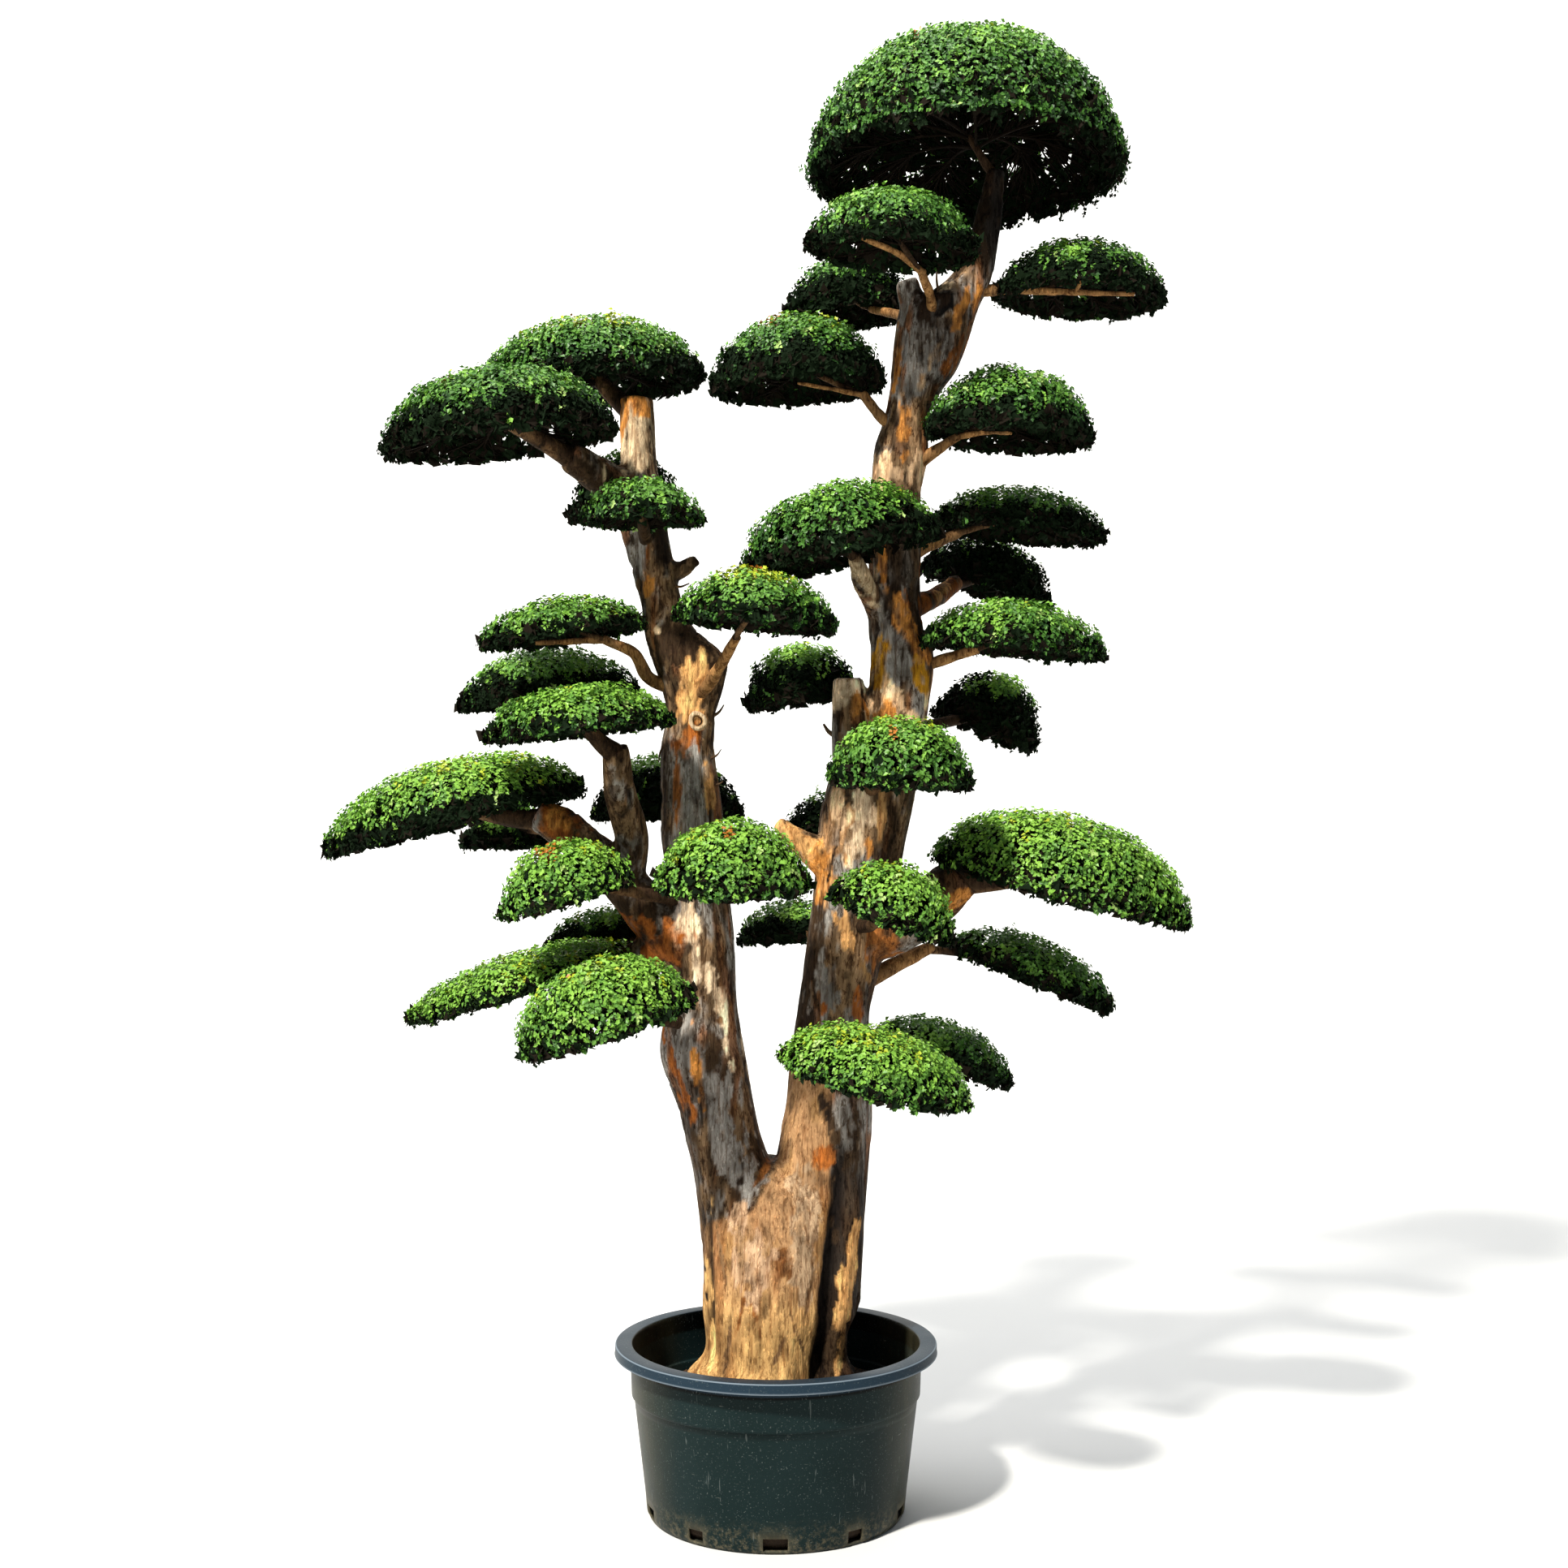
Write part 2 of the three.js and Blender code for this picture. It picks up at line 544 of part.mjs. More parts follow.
// A leaf of eight faces from its root to its tip, lying in the plane of its side direction.
function leafSolid(tip, direction, side, length) {
  const root = tip.clone().addScaledVector(direction, -length);
  const belly = root.clone().addScaledVector(direction, length * LEAF_BELLY);
  const face = direction.clone().cross(side).normalize();
  const wide = (LEAF_WIDTH / LEAF_LENGTH) * (length / 2);
  const ring = [
    belly.clone().addScaledVector(side, wide),
    belly.clone().addScaledVector(face, LEAF_THICK / 2),
    belly.clone().addScaledVector(side, -wide),
    belly.clone().addScaledVector(face, -LEAF_THICK / 2),
  ];
  return { points: [root, tip, ring[0], ring[2]], solid: () => skinOver([ring], root, tip) };
}

// One leaf whose tip lies on the clipped outline, upright in the middle and leaning out and down by the rim.
function outlineLeaf(frame, random, share, angle) {
  const tip = frame.place(share, angle, domeHeight(frame, share));
  const outward = frame.place(1, angle, 0).sub(frame.middle).normalize();
  const rise = LEAF_RISE * (1 - share) - LEAF_DROOP * share + LEAF_LIFT * random();
  const direction = outward.clone().multiplyScalar(share).addScaledVector(frame.up, rise).normalize();
  const side = outward.clone().cross(frame.up);
  side.applyAxisAngle(direction, (random() - 0.5) * LEAF_SPIN);
  side.addScaledVector(direction, -side.dot(direction)).normalize();
  return leafSolid(tip, direction, side, LEAF_LENGTH * (1 + LEAF_LENGTH_SPREAD * (random() - 0.5)));
}

// Leaves evenly round the rim, then over the dome by the golden angle.
function padLeaves(frame, random, clear) {
  const around = 2 * Math.round((Math.PI * (frame.half[0] + frame.half[1])) / (2 * RIM_PITCH));
  const over = Math.round((frame.half[0] * frame.half[1]) / DOME_AREA);
  const turn = random();
  const leaves = [];
  for (let index = 0; index < around; index += 1) {
    leaves.push(outlineLeaf(frame, random, RIM_SHARE, (2 * Math.PI * index) / around));
  }
  for (let index = 0; index < over; index += 1) {
    const share = DOME_REACH * Math.sqrt(index / over);
    leaves.push(outlineLeaf(frame, random, share, index * GOLDEN_ANGLE + turn));
  }
  return leaves.filter((leaf) => leaf.points.every(clear)).map((leaf) => leaf.solid());
}

// Twigs that branch off the pad's own stem by the golden angle, each into the hollow underside.
function padTwigs(frame, random, root, hub, clear) {
  const count = frame.half[0] > WIDE_PAD_HALF ? 2 : 1;
  const turn = 2 * Math.PI * random();
  const twigs = [];
  for (let index = 0; index < count; index += 1) {
    const angle = turn + index * GOLDEN_ANGLE;
    const share = TWIG_REACH + TWIG_REACH_SPREAD * random();
    const start = root.clone().lerp(hub, TWIG_START + TWIG_START_STEP * index);
    const end = frame.place(CORE_PLAN * share, angle, (HOLLOW + TWIG_BITE) * frame.dome);
    const reach = [1 / 3, 2 / 3, 1].map((part) => start.clone().lerp(end, part));
    if (reach.every(clear)) twigs.push(twig(start, end, TWIG_RADIUS, TWIG_RADIUS * TWIG_TAPER, TWIG_SIDES));
  }
  return twigs;
}

// The whole pad: core, its own stem up to the hub, twigs and leaves, cut clear of the limbs near it.
function padSolid(pad, root, rootRadius, limbs, others, seed) {
  const frame = padFrame(pad);
  const random = seededRandom(seed);
  const hub = frame.place(0, 0, (HOLLOW + HUB_BITE) * frame.dome);
  const nearOther = (point) => others.some((other) => insideSpace(other, point, PAD_ROOM));
  const nearLimb = (point) => limbs.some((wood) => wood.touches(point));
  const clear = (point) => !nearOther(point) && !nearLimb(point);
  const stem = twig(root, hub, rootRadius, Math.max(TWIG_RADIUS, rootRadius * TWIG_TAPER), PAD_STEM_SIDES);
  const twigs = padTwigs(frame, random, root, hub, clear);
  const leaves = padLeaves(frame, random, clear);
  const whole = joined([padCore(frame, random), stem, ...twigs, ...leaves]);
  const box = whole.boundingBox();
  const near = limbs.filter((wood) => wood.meets(box));
  return largestPiece(near.reduce((rest, wood) => rest.subtract(wood.grown), whole));
}

// A limb with its grown copy, and tests for what lies near it.
function woodPiece(name, solid, grown, middles) {
  const box = grown.boundingBox();
  const touches = (point) => middles.some(([middle, thick]) => middle.distanceTo(point) < thick);
  const meets = (other) => [0, 1, 2].every((axis) => (
    box.min[axis] < other.max[axis] && other.min[axis] < box.max[axis]));
  return { name, solid, grown, touches, meets };
}

// Balls along a limb's middle, stout enough to cover it with a little room.
function ballsAlong({ through, radius }) {
  const curve = new THREE.CatmullRomCurve3(through.map((point) => vector(...point)));
  return Array.from({ length: LIMB_BALLS + 1 }, (_, step) => {
    const share = step / LIMB_BALLS;
    return [curve.getPointAt(share), THREE.MathUtils.lerp(radius[0], radius[1], share) + LIMB_ROOM];
  });
}

// The same up the middle of upright wood.
function ballsUp(stations) {
  const top = stations.at(-1)[0];
  const balls = [];
  for (let height = stations[0][0] + 1; height < top; height += STEM_BALL_PITCH) {
    const above = stations.findIndex((station) => station[0] >= height);
    const across = Math.max(stations[above][3], stations[above - 1][3]);
    balls.push([stemMiddle(stations, height), across + STEM_ROOM]);
  }
  return balls;
}

function stemPiece(name, stations) {
  const stubs = STUBS[name];
  const grownStubs = stubs.map((stub) => limb(stub, BOUGH_SIDES, CLEAR));
  const solid = joined([uprightWood(stations), ...stubs.map((stub) => limb(stub, BOUGH_SIDES))]);
  const grown = joined([uprightWood(stations, CLEAR), ...grownStubs]);
  return woodPiece(name, solid, grown, [...ballsUp(stations), ...stubs.flatMap(ballsAlong)]);
}

function trunkPiece() {
  const parts = [TRUNK_BODY, TRUNK_LEFT_ARM, TRUNK_RIGHT_ARM];
  const solid = joined(parts.map((part) => uprightWood(part)));
  const grown = joined(parts.map((part) => uprightWood(part, CLEAR)));
  return woodPiece('trunk', solid, grown, parts.flatMap(ballsUp));
}

function boughPiece(bough, earlier) {
  const grown = limb(bough, BOUGH_SIDES, CLEAR);
  const cut = earlier.reduce((rest, wood) => rest.subtract(wood.grown), limb(bough, BOUGH_SIDES));
  return woodPiece(bough.name, largestPiece(cut), grown, ballsAlong(bough));
}

const model = new THREE.Group();

function place(name, solid, material) {
  const mesh = new THREE.Mesh(toGeometry(solid), material);
  mesh.name = name;
  model.add(mesh);
}

// Where a pad's own stem starts: just inside the tip it grows from, or on the middle of a limb.
function padRoot(pad) {
  const stems = { left_stem: LEFT_STEM, right_stem: RIGHT_STEM };
  if (pad.stem) {
    const [name, height] = pad.stem;
    return { root: stemMiddle(stems[name], height), rootRadius: STEM_ROOT_RADIUS };
  }
  if (stems[pad.tip]) {
    const [height, x, y, across] = stems[pad.tip].at(-1);
    return { root: vector(x, y, height - across), rootRadius: across * STEM_TOP_SHARE };
  }
  const bough = BOUGHS.find((entry) => entry.name === (pad.tip ?? pad.side));
  const curve = new THREE.CatmullRomCurve3(bough.through.map((point) => vector(...point)));
  if (pad.side) return { root: curve.getPointAt(SIDE_ROOT), rootRadius: SIDE_ROOT_RADIUS };
  return { root: curve.getPointAt(TIP_ROOT), rootRadius: bough.radius[1] * TIP_ROOT_SHARE };
}

place('pot', potSolid(), POT_PLASTIC);
place('soil', soilSolid(), POTTING_MIX);

const woods = [trunkPiece(), stemPiece('left_stem', LEFT_STEM), stemPiece('right_stem', RIGHT_STEM)];
for (const bough of BOUGHS) woods.push(boughPiece(bough, woods));
for (const wood of woods) place(wood.name, wood.solid, BARK);

const frames = PADS.map(padFrame);
PADS.forEach((pad, index) => {
  const { root, rootRadius } = padRoot(pad);
  const others = frames.filter((_, other) => other !== index);
  place(pad.name, padSolid(pad, root, rootRadius, woods, others, SEED + (pad.growth ?? index)), FOLIAGE);
});

export default model;
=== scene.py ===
import bpy
import numpy as np
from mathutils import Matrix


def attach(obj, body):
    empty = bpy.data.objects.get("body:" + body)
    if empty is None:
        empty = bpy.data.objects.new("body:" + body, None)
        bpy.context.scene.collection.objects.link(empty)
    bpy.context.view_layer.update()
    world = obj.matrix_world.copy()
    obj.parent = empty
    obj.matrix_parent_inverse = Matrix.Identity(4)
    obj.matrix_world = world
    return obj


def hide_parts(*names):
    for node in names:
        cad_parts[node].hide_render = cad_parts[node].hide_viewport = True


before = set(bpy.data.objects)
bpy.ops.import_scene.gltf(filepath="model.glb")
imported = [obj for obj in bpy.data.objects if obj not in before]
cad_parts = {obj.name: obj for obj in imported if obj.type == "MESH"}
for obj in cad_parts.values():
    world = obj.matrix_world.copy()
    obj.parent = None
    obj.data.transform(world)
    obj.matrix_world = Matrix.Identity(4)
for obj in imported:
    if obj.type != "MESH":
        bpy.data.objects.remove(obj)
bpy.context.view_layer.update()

MM = 0.001

# The tub
# A round nursery tub moulded in one shot of black polypropylene. Its wall steps out where tubs nest
# in each other, its lip is rolled over for lifting, and the mould leaves ten drain windows at the foot.
TUB_HEIGHT = 316 * MM
TUB_WALL = 4 * MM
TUB_FOOT_RADIUS = 236 * MM
TUB_FOOT_ROUND = 8 * MM
TUB_SIDE_START = 45 * MM
TUB_STEP_RADIUS = 260 * MM
TUB_STEP_HEIGHT = 223 * MM
TUB_STEP = [(0.2, 0), (3.4, 0.3), (4.2, 1.2), (4.4, 4)]
TUB_NECK_RADIUS = 267 * MM
TUB_NECK_HEIGHT = 245 * MM
TUB_INNER_ROUND = 3 * MM
LIP_RADIUS = 299 * MM
LIP_ROUND = 4 * MM
LIP_FOOT = 297 * MM
WINDOW_LOW = 8 * MM
WINDOW_HIGH = 30 * MM
WINDOW_COUNT = 10
CELLS_PER_WINDOW = 24
WIDE_WINDOW_CELLS = 7
NARROW_WINDOW_CELLS = 5
DUST_CELLS = 1.6
DUST_MIDDLE = 20 * MM
DUST_REACH = 16 * MM
SIDE_FILM = (165 * MM, 262 * MM)
FOOT_DUST = (70 * MM, 2 * MM)


def arc(middle, radius, start, end, steps):
    """Points of a round corner: middle plus radius times (cos a, sin a), a going from start to end."""
    angle = np.radians(np.linspace(start, end, steps))
    return np.array(middle) + radius * np.stack([np.cos(angle), np.sin(angle)], axis=1)


def revolve(profile, columns):
    """A surface of revolution: the profile's (r, z) goes to (r sin a, -r cos a, z) at each column's angle."""
    angle = 2 * np.pi * (np.arange(columns) + 0.5) / columns
    radius = profile[:, :1]
    height = np.repeat(profile[:, 1:], columns, axis=1)
    return np.stack([radius * np.sin(angle), -radius * np.cos(angle), height], axis=-1)


def grid_quads(rows, columns):
    """The quads of a grid of points that closes on itself from the last column to the first."""
    row, column = np.meshgrid(np.arange(rows - 1), np.arange(columns), indexing="ij")
    after = (column + 1) % columns
    corners = [row * columns + column, row * columns + after]
    corners += [(row + 1) * columns + after, (row + 1) * columns + column]
    return np.stack(corners, axis=-1).reshape(-1, 4)


def new_piece(name, points, faces, smooth=True):
    """A mesh object from an (n, 3) array of points and an (m, k) array of faces of k corners each."""
    mesh = bpy.data.meshes.new(name)
    mesh.vertices.add(len(points))
    mesh.vertices.foreach_set("co", np.asarray(points, dtype=np.float32).ravel())
    mesh.loops.add(faces.size)
    mesh.loops.foreach_set("vertex_index", faces.astype(np.int32).ravel())
    mesh.polygons.add(len(faces))
    mesh.polygons.foreach_set("loop_start", np.arange(0, faces.size, faces.shape[1], dtype=np.int32))
    mesh.polygons.foreach_set("use_smooth", np.full(len(faces), smooth))
    mesh.update(calc_edges=True)
    piece = bpy.data.objects.new(name, mesh)
    bpy.context.scene.collection.objects.link(piece)
    return piece


def point_attribute(piece, name, values):
    """Stores one number, or one colour, for each point of the piece's mesh."""
    kind = "FLOAT" if values.ndim == 1 else "FLOAT_COLOR"
    layer = piece.data.attributes.new(name, kind, "POINT")
    if kind == "FLOAT":
        layer.data.foreach_set("value", values.astype(np.float32))
    else:
        opaque = np.concatenate([values, np.ones((len(values), 1))], axis=1)
        layer.data.foreach_set("color", opaque.astype(np.float32).ravel())


class Finish:
    """A Principled material and the shader nodes that work out its colour, gloss and bump."""

    def __init__(self, name, colour, roughness, specular=0.5):
        self.material = bpy.data.materials.new(name)
        self.material.use_nodes = True
        self.shader = self.material.node_tree.nodes["Principled BSDF"]
        self.shader.inputs["Base Color"].default_value = (*colour, 1)
        self.shader.inputs["Roughness"].default_value = roughness
        self.shader.inputs["Specular IOR Level"].default_value = specular

    def feed(self, name, output):
        """Links an output to one of the shader's own inputs."""
        self.material.node_tree.links.new(output, self.shader.inputs[name])

    def node(self, kind, inputs, output=0, **settings):
        """One output of a new node. Each input is a plain value or another node's output."""
        tree = self.material.node_tree
        made = tree.nodes.new("ShaderNode" + kind)
        for setting, value in settings.items():
            setattr(made, setting, value)
        for key, value in inputs.items():
            if isinstance(value, bpy.types.NodeSocket):
                tree.links.new(value, made.inputs[key])
            else:
                made.inputs[key].default_value = value
        return made.outputs[output]

    def attribute(self, name, output="Fac"):
        return self.node("Attribute", {}, output, attribute_name=name)

    def place(self, stretch=(1, 1, 1)):
        """Object coordinates, scaled along each axis."""
        return self.node("Mapping", {"Vector": self.node("TexCoord", {}, "Object"), "Scale": stretch})

    def noise(self, scale, detail, rough=0.55, stretch=(1, 1, 1), twist=0.0):
        """The grey level of a noise texture on stretched object coordinates."""
        inputs = {"Vector": self.place(stretch), "Scale": scale, "Detail": detail}
        return self.node("TexNoise", inputs | {"Roughness": rough, "Distortion": twist}, "Fac")

    def rise(self, value, low, high):
        """Goes smoothly from 0 to 1 as value goes from low to high."""
        inputs = {"Value": value, "From Min": low, "From Max": high}
        return self.node("MapRange", inputs, "Result", interpolation_type="SMOOTHSTEP")

    def between(self, value, low, high):
        """Goes evenly from low to high as value goes from 0 to 1."""
        return self.node("MapRange", {"Value": value, "To Min": low, "To Max": high}, "Result")

    def paint(self, colour, coats, blend="MIX"):
        """Feeds a colour with coats on it. Each is its colour, its strength and the masks it goes through."""
        factor, below, above, result = 0, 6, 7, 2
        for coat, share, *masks in coats:
            for mask in masks:
                share = self.node("Math", {0: mask, 1: share}, operation="MULTIPLY")
            under = colour if isinstance(colour, bpy.types.NodeSocket) else (*colour, 1)
            inputs = {factor: share, below: under, above: (*coat, 1)}
            colour = self.node("Mix", inputs, result, data_type="RGBA", blend_type=blend)
        self.feed("Base Color", colour)

    def bump(self, *layers, invert=False):
        """Feeds bumps laid on each other, each its strength, its depth and its height."""
        below = {}
        for strength, depth, height in layers:
            inputs = {"Strength": strength, "Distance": depth, "Height": height}
            below = {"Normal": self.node("Bump", inputs | below, invert=invert)}
        self.feed("Normal", below["Normal"])


foot_corner = TUB_FOOT_RADIUS - TUB_FOOT_ROUND
tub_profile = np.concatenate([
    np.linspace((0, TUB_WALL), (foot_corner, TUB_WALL), 8)[:-1],
    arc((foot_corner, TUB_WALL + TUB_FOOT_ROUND), TUB_FOOT_ROUND, -90, -42, 5)[:-1],
    [(TUB_FOOT_RADIUS - 2.5 * MM, WINDOW_LOW), (TUB_FOOT_RADIUS, TUB_FOOT_ROUND + TUB_WALL)],
    [(TUB_FOOT_RADIUS + 1.6 * MM, WINDOW_HIGH)],
    np.linspace((TUB_FOOT_RADIUS + 3 * MM, TUB_SIDE_START), (TUB_STEP_RADIUS, TUB_STEP_HEIGHT - 2 * MM), 12),
    np.array(TUB_STEP) * MM + (TUB_STEP_RADIUS, TUB_STEP_HEIGHT),
    np.linspace((TUB_STEP_RADIUS + 5 * MM, TUB_NECK_HEIGHT), (TUB_NECK_RADIUS, TUB_HEIGHT - 8 * MM), 4),
    arc((TUB_NECK_RADIUS + TUB_INNER_ROUND, TUB_HEIGHT - TUB_INNER_ROUND), TUB_INNER_ROUND, 180, 90, 5)[1:],
    arc((LIP_RADIUS - LIP_ROUND, TUB_HEIGHT - LIP_ROUND), LIP_ROUND, 90, 0, 6),
    [(LIP_RADIUS, LIP_FOOT + 3 * MM), (LIP_RADIUS + 1 * MM, LIP_FOOT)],
])
tub_columns = WINDOW_COUNT * CELLS_PER_WINDOW
tub_points = revolve(tub_profile, tub_columns)
tub_quads = grid_quads(len(tub_profile), tub_columns)

cell = np.arange(tub_columns)
window = np.round((cell + 1) / CELLS_PER_WINDOW)
half_cells = np.where(window % 2 == 0, WIDE_WINDOW_CELLS // 2, NARROW_WINDOW_CELLS // 2)
in_columns = np.abs(cell + 1 - window * CELLS_PER_WINDOW) <= half_cells
in_rows = (tub_profile[:-1, 1] > WINDOW_LOW - 1e-6) & (tub_profile[1:, 1] < WINDOW_HIGH + 1e-6)
in_rows &= tub_profile[:-1, 0] > TUB_FOOT_RADIUS - 6 * MM
in_window = (in_rows[:, None] & in_columns).ravel()
tub = new_piece("tub", tub_points.reshape(-1, 3), tub_quads[~in_window][:, ::-1])

past_window = np.maximum(np.abs(cell + 0.5 - window * CELLS_PER_WINDOW) - half_cells, 0)
dust_up = np.exp(-((tub_profile[:, 1:] - DUST_MIDDLE) / DUST_REACH) ** 2)
point_attribute(tub, "window_dust", (dust_up * np.exp(-(past_window / DUST_CELLS) ** 2)).ravel())
# Painted highlights: the lip is painted pale on its shoulder and along its lower edge, where its rounds catch
# the light.
lip_highlight = np.zeros(len(tub_profile))
lip_highlight[-6:-4] = 0.9
lip_highlight[-1] = 1
point_attribute(tub, "lip_highlight", np.repeat(lip_highlight, tub_columns))

welder = tub.modifiers.new("weld the middle of the floor", "WELD")
welder.merge_threshold = 0.01 * MM
wall = tub.modifiers.new("wall", "SOLIDIFY")
wall.thickness = TUB_WALL
wall.offset = -1
wall.use_even_offset = True
wall.use_quality_normals = True

plastic = Finish("tub_plastic", (0.02, 0.036, 0.038), 0.5, 0.07)
x_of, height_of = (plastic.node("SeparateXYZ", {0: plastic.place()}, axis) for axis in "XZ")
to_side = plastic.rise(plastic.node("Math", {0: x_of}, operation="ABSOLUTE"), *SIDE_FILM)
radius_of = plastic.node("VectorMath", {0: plastic.place((1, 1, 0))}, "Value", operation="LENGTH")
on_lip = plastic.rise(radius_of, TUB_NECK_RADIUS, TUB_NECK_RADIUS + 3 * MM)
lip_height = plastic.rise(height_of, LIP_FOOT - 14 * MM, LIP_FOOT - 10 * MM)
# Painted shade: a near-black band on the neck just under the lip, and on the wall above it.
shade_under_lip = plastic.rise(height_of, LIP_FOOT - 20 * MM, LIP_FOOT - 14 * MM)
near_foot = plastic.rise(height_of, *FOOT_DUST)
cloud = plastic.noise(9.0, 3.0)
film = plastic.noise(30.0, 5.0, 0.65, (1, 1, 0.3))
scratch = plastic.rise(plastic.noise(150.0, 2.0, stretch=(1, 1, 0.09)), 0.68, 0.76)
fleck = plastic.rise(plastic.noise(90.0, 2.0, stretch=(0.3, 0.3, 2.0)), 0.72, 0.8)
speck = plastic.rise(plastic.noise(330.0, 2.0), 0.62, 0.74)
dust = plastic.rise(plastic.noise(95.0, 6.0, 0.75), 0.45, 0.66)
plastic.paint((0.004, 0.012, 0.012), [
    ((0.01, 0.022, 0.023), 1, cloud),
    # Painted shade under the lip.
    ((0.001, 0.002, 0.002), 1, shade_under_lip),
    ((0.07, 0.06, 0.03), 0.8, to_side, film),
    ((0.016, 0.031, 0.047), 1, on_lip, lip_height),
    ((0.2, 0.23, 0.22), 0.3, scratch),
    ((0.3, 0.31, 0.27), 0.4, fleck),
    ((0.2, 0.23, 0.22), 0.35, speck),
    ((0.2, 0.165, 0.1), 0.55, near_foot, dust),
    ((0.27, 0.22, 0.13), 0.35, plastic.attribute("window_dust")),
    # Painted highlight on the lip's shoulder and lower edge.
    ((0.26, 0.32, 0.38), 0.75, plastic.attribute("lip_highlight")),
])
plastic.feed("Roughness", plastic.between(cloud, 0.3, 0.5))
plastic.bump((0.25, 0.8 * MM, plastic.noise(240.0, 3.0)))
tub.data.materials.append(plastic.material)
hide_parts("pot")
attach(tub, "root")

# The potting mix
# Dark damp compost with bark crumbs, filled to a hand's width below the lip and firmed round the foot
# of the trunk. It has sunk a little towards the wall.
MIX_LEVEL = 215 * MM
MIX_FALL = 7 * MM
MIX_FLAT = 226 * MM
MIX_FLOOR = 5.7 * MM
MIX_GAP = 2.7 * MM
MIX_COLUMNS = 180
LUMP_HEIGHT = 3.5 * MM
CRUMBS = 1500
CRUMB_REACH = 252 * MM
CRUMB_RADIUS = (1.8 * MM, 5.5 * MM)
CRUMB_SHAPE = (1, 1, 0.55)


def lattice_noise(points, seed=0):
    """Smooth noise from -1 to 1: random numbers on a unit lattice, eased across each cube of it."""
    corner = np.floor(points).astype(np.int64)
    offset = points - corner
    ease = offset ** 3 * (offset * (offset * 6 - 15) + 10)
    total = np.zeros(len(points))
    for step in np.ndindex(2, 2, 2):
        at = corner + step
        mixed = at[:, 0] * 374761393 + at[:, 1] * 668265263 + at[:, 2] * 1103515245 + seed * 974634777
        mixed = (mixed ^ (mixed >> 13)) * 1274126177
        value = ((mixed ^ (mixed >> 16)) & 65535) / 32767.5 - 1
        total += value * np.prod(np.where(step, ease, 1 - ease), axis=1)
    return total


def layered_noise(points, layers=3, seed=0):
    """Lattice noise with finer layers on it, each at twice the pitch and half the height."""
    parts = [lattice_noise(points * 2 ** layer, seed + layer) / 2 ** layer for layer in range(layers)]
    return np.sum(parts, axis=0)


mix_side = TUB_STEP_RADIUS - TUB_FOOT_RADIUS
mix_top_radius = TUB_FOOT_RADIUS + mix_side * MIX_LEVEL / TUB_STEP_HEIGHT - MIX_GAP
mix_rings = np.linspace(mix_top_radius, 0, 46)
mix_heights = MIX_LEVEL - MIX_FALL * np.clip((mix_rings - MIX_FLAT) / (mix_top_radius - MIX_FLAT), 0, 1)
mix_profile = np.concatenate([
    [(0, MIX_FLOOR), (TUB_FOOT_RADIUS - 16 * MM, MIX_FLOOR), (TUB_FOOT_RADIUS - 3 * MM, 20 * MM)],
    np.stack([mix_rings, mix_heights], axis=1),
])
mix_points = revolve(mix_profile, MIX_COLUMNS)
# Lumps lie on the whole top but its rim and its pole.
mix_top = mix_points[4:-1].reshape(-1, 3)
lumps = LUMP_HEIGHT * layered_noise(mix_top * (34, 34, 0), 3, 5)
mix_points[4:-1, :, 2] += lumps.reshape(mix_points[4:-1].shape[:2])
potting_mix = new_piece("potting_mix", mix_points.reshape(-1, 3), grid_quads(len(mix_profile), MIX_COLUMNS))
poles = potting_mix.modifiers.new("weld the poles", "WELD")
poles.merge_threshold = 0.01 * MM

crumb_random = np.random.default_rng(11)
crumb_radius = CRUMB_REACH * np.sqrt(crumb_random.uniform(0.06, 0.96, CRUMBS))
crumb_angle = crumb_random.uniform(0, 2 * np.pi, CRUMBS)
crumb_height = MIX_LEVEL - MIX_FALL * np.clip((crumb_radius - MIX_FLAT) / (26 * MM), 0, 1) + 1 * MM
crumb_middle = [crumb_radius * np.sin(crumb_angle), crumb_radius * np.cos(crumb_angle), crumb_height]
octahedron = np.array([(1, 0, 0), (0, 1, 0), (-1, 0, 0), (0, -1, 0), (0, 0, 1), (0, 0, -1)])
octahedron_sides = [(0, 1), (1, 2), (2, 3), (3, 0)]
octahedron_faces = [(a, b, 4) for a, b in octahedron_sides] + [(b, a, 5) for a, b in octahedron_sides]
crumb_size = crumb_random.uniform(*CRUMB_RADIUS, (CRUMBS, 1, 1))
crumb_size = crumb_size * crumb_random.uniform(0.6, 1.3, (CRUMBS, 6, 1))
crumb_points = np.stack(crumb_middle, axis=1)[:, None] + octahedron * crumb_size * CRUMB_SHAPE
crumb_faces = np.array(octahedron_faces) + 6 * np.arange(CRUMBS)[:, None, None]
crumbs = new_piece("bark_crumbs", crumb_points.reshape(-1, 3), crumb_faces.reshape(-1, 3), smooth=False)

compost = Finish("damp_compost", (0.016, 0.01, 0.006), 0.92, 0.25)
mix_grain = compost.noise(130.0, 6.0, 0.7)
compost.paint((0.006, 0.004, 0.003), [((0.05, 0.03, 0.017), 1, mix_grain)])
compost.bump((0.9, 3 * MM, mix_grain))
potting_mix.data.materials.append(compost.material)
crumb_bark = Finish("compost_bark", (0.06, 0.035, 0.018), 0.9, 0.25)
crumb_bark.paint((0.012, 0.008, 0.005), [((0.11, 0.06, 0.03), 1, crumb_bark.noise(60.0, 3.0))])
crumbs.data.materials.append(crumb_bark.material)
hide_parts("soil")
for piece in (potting_mix, crumbs):
    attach(piece, "root")

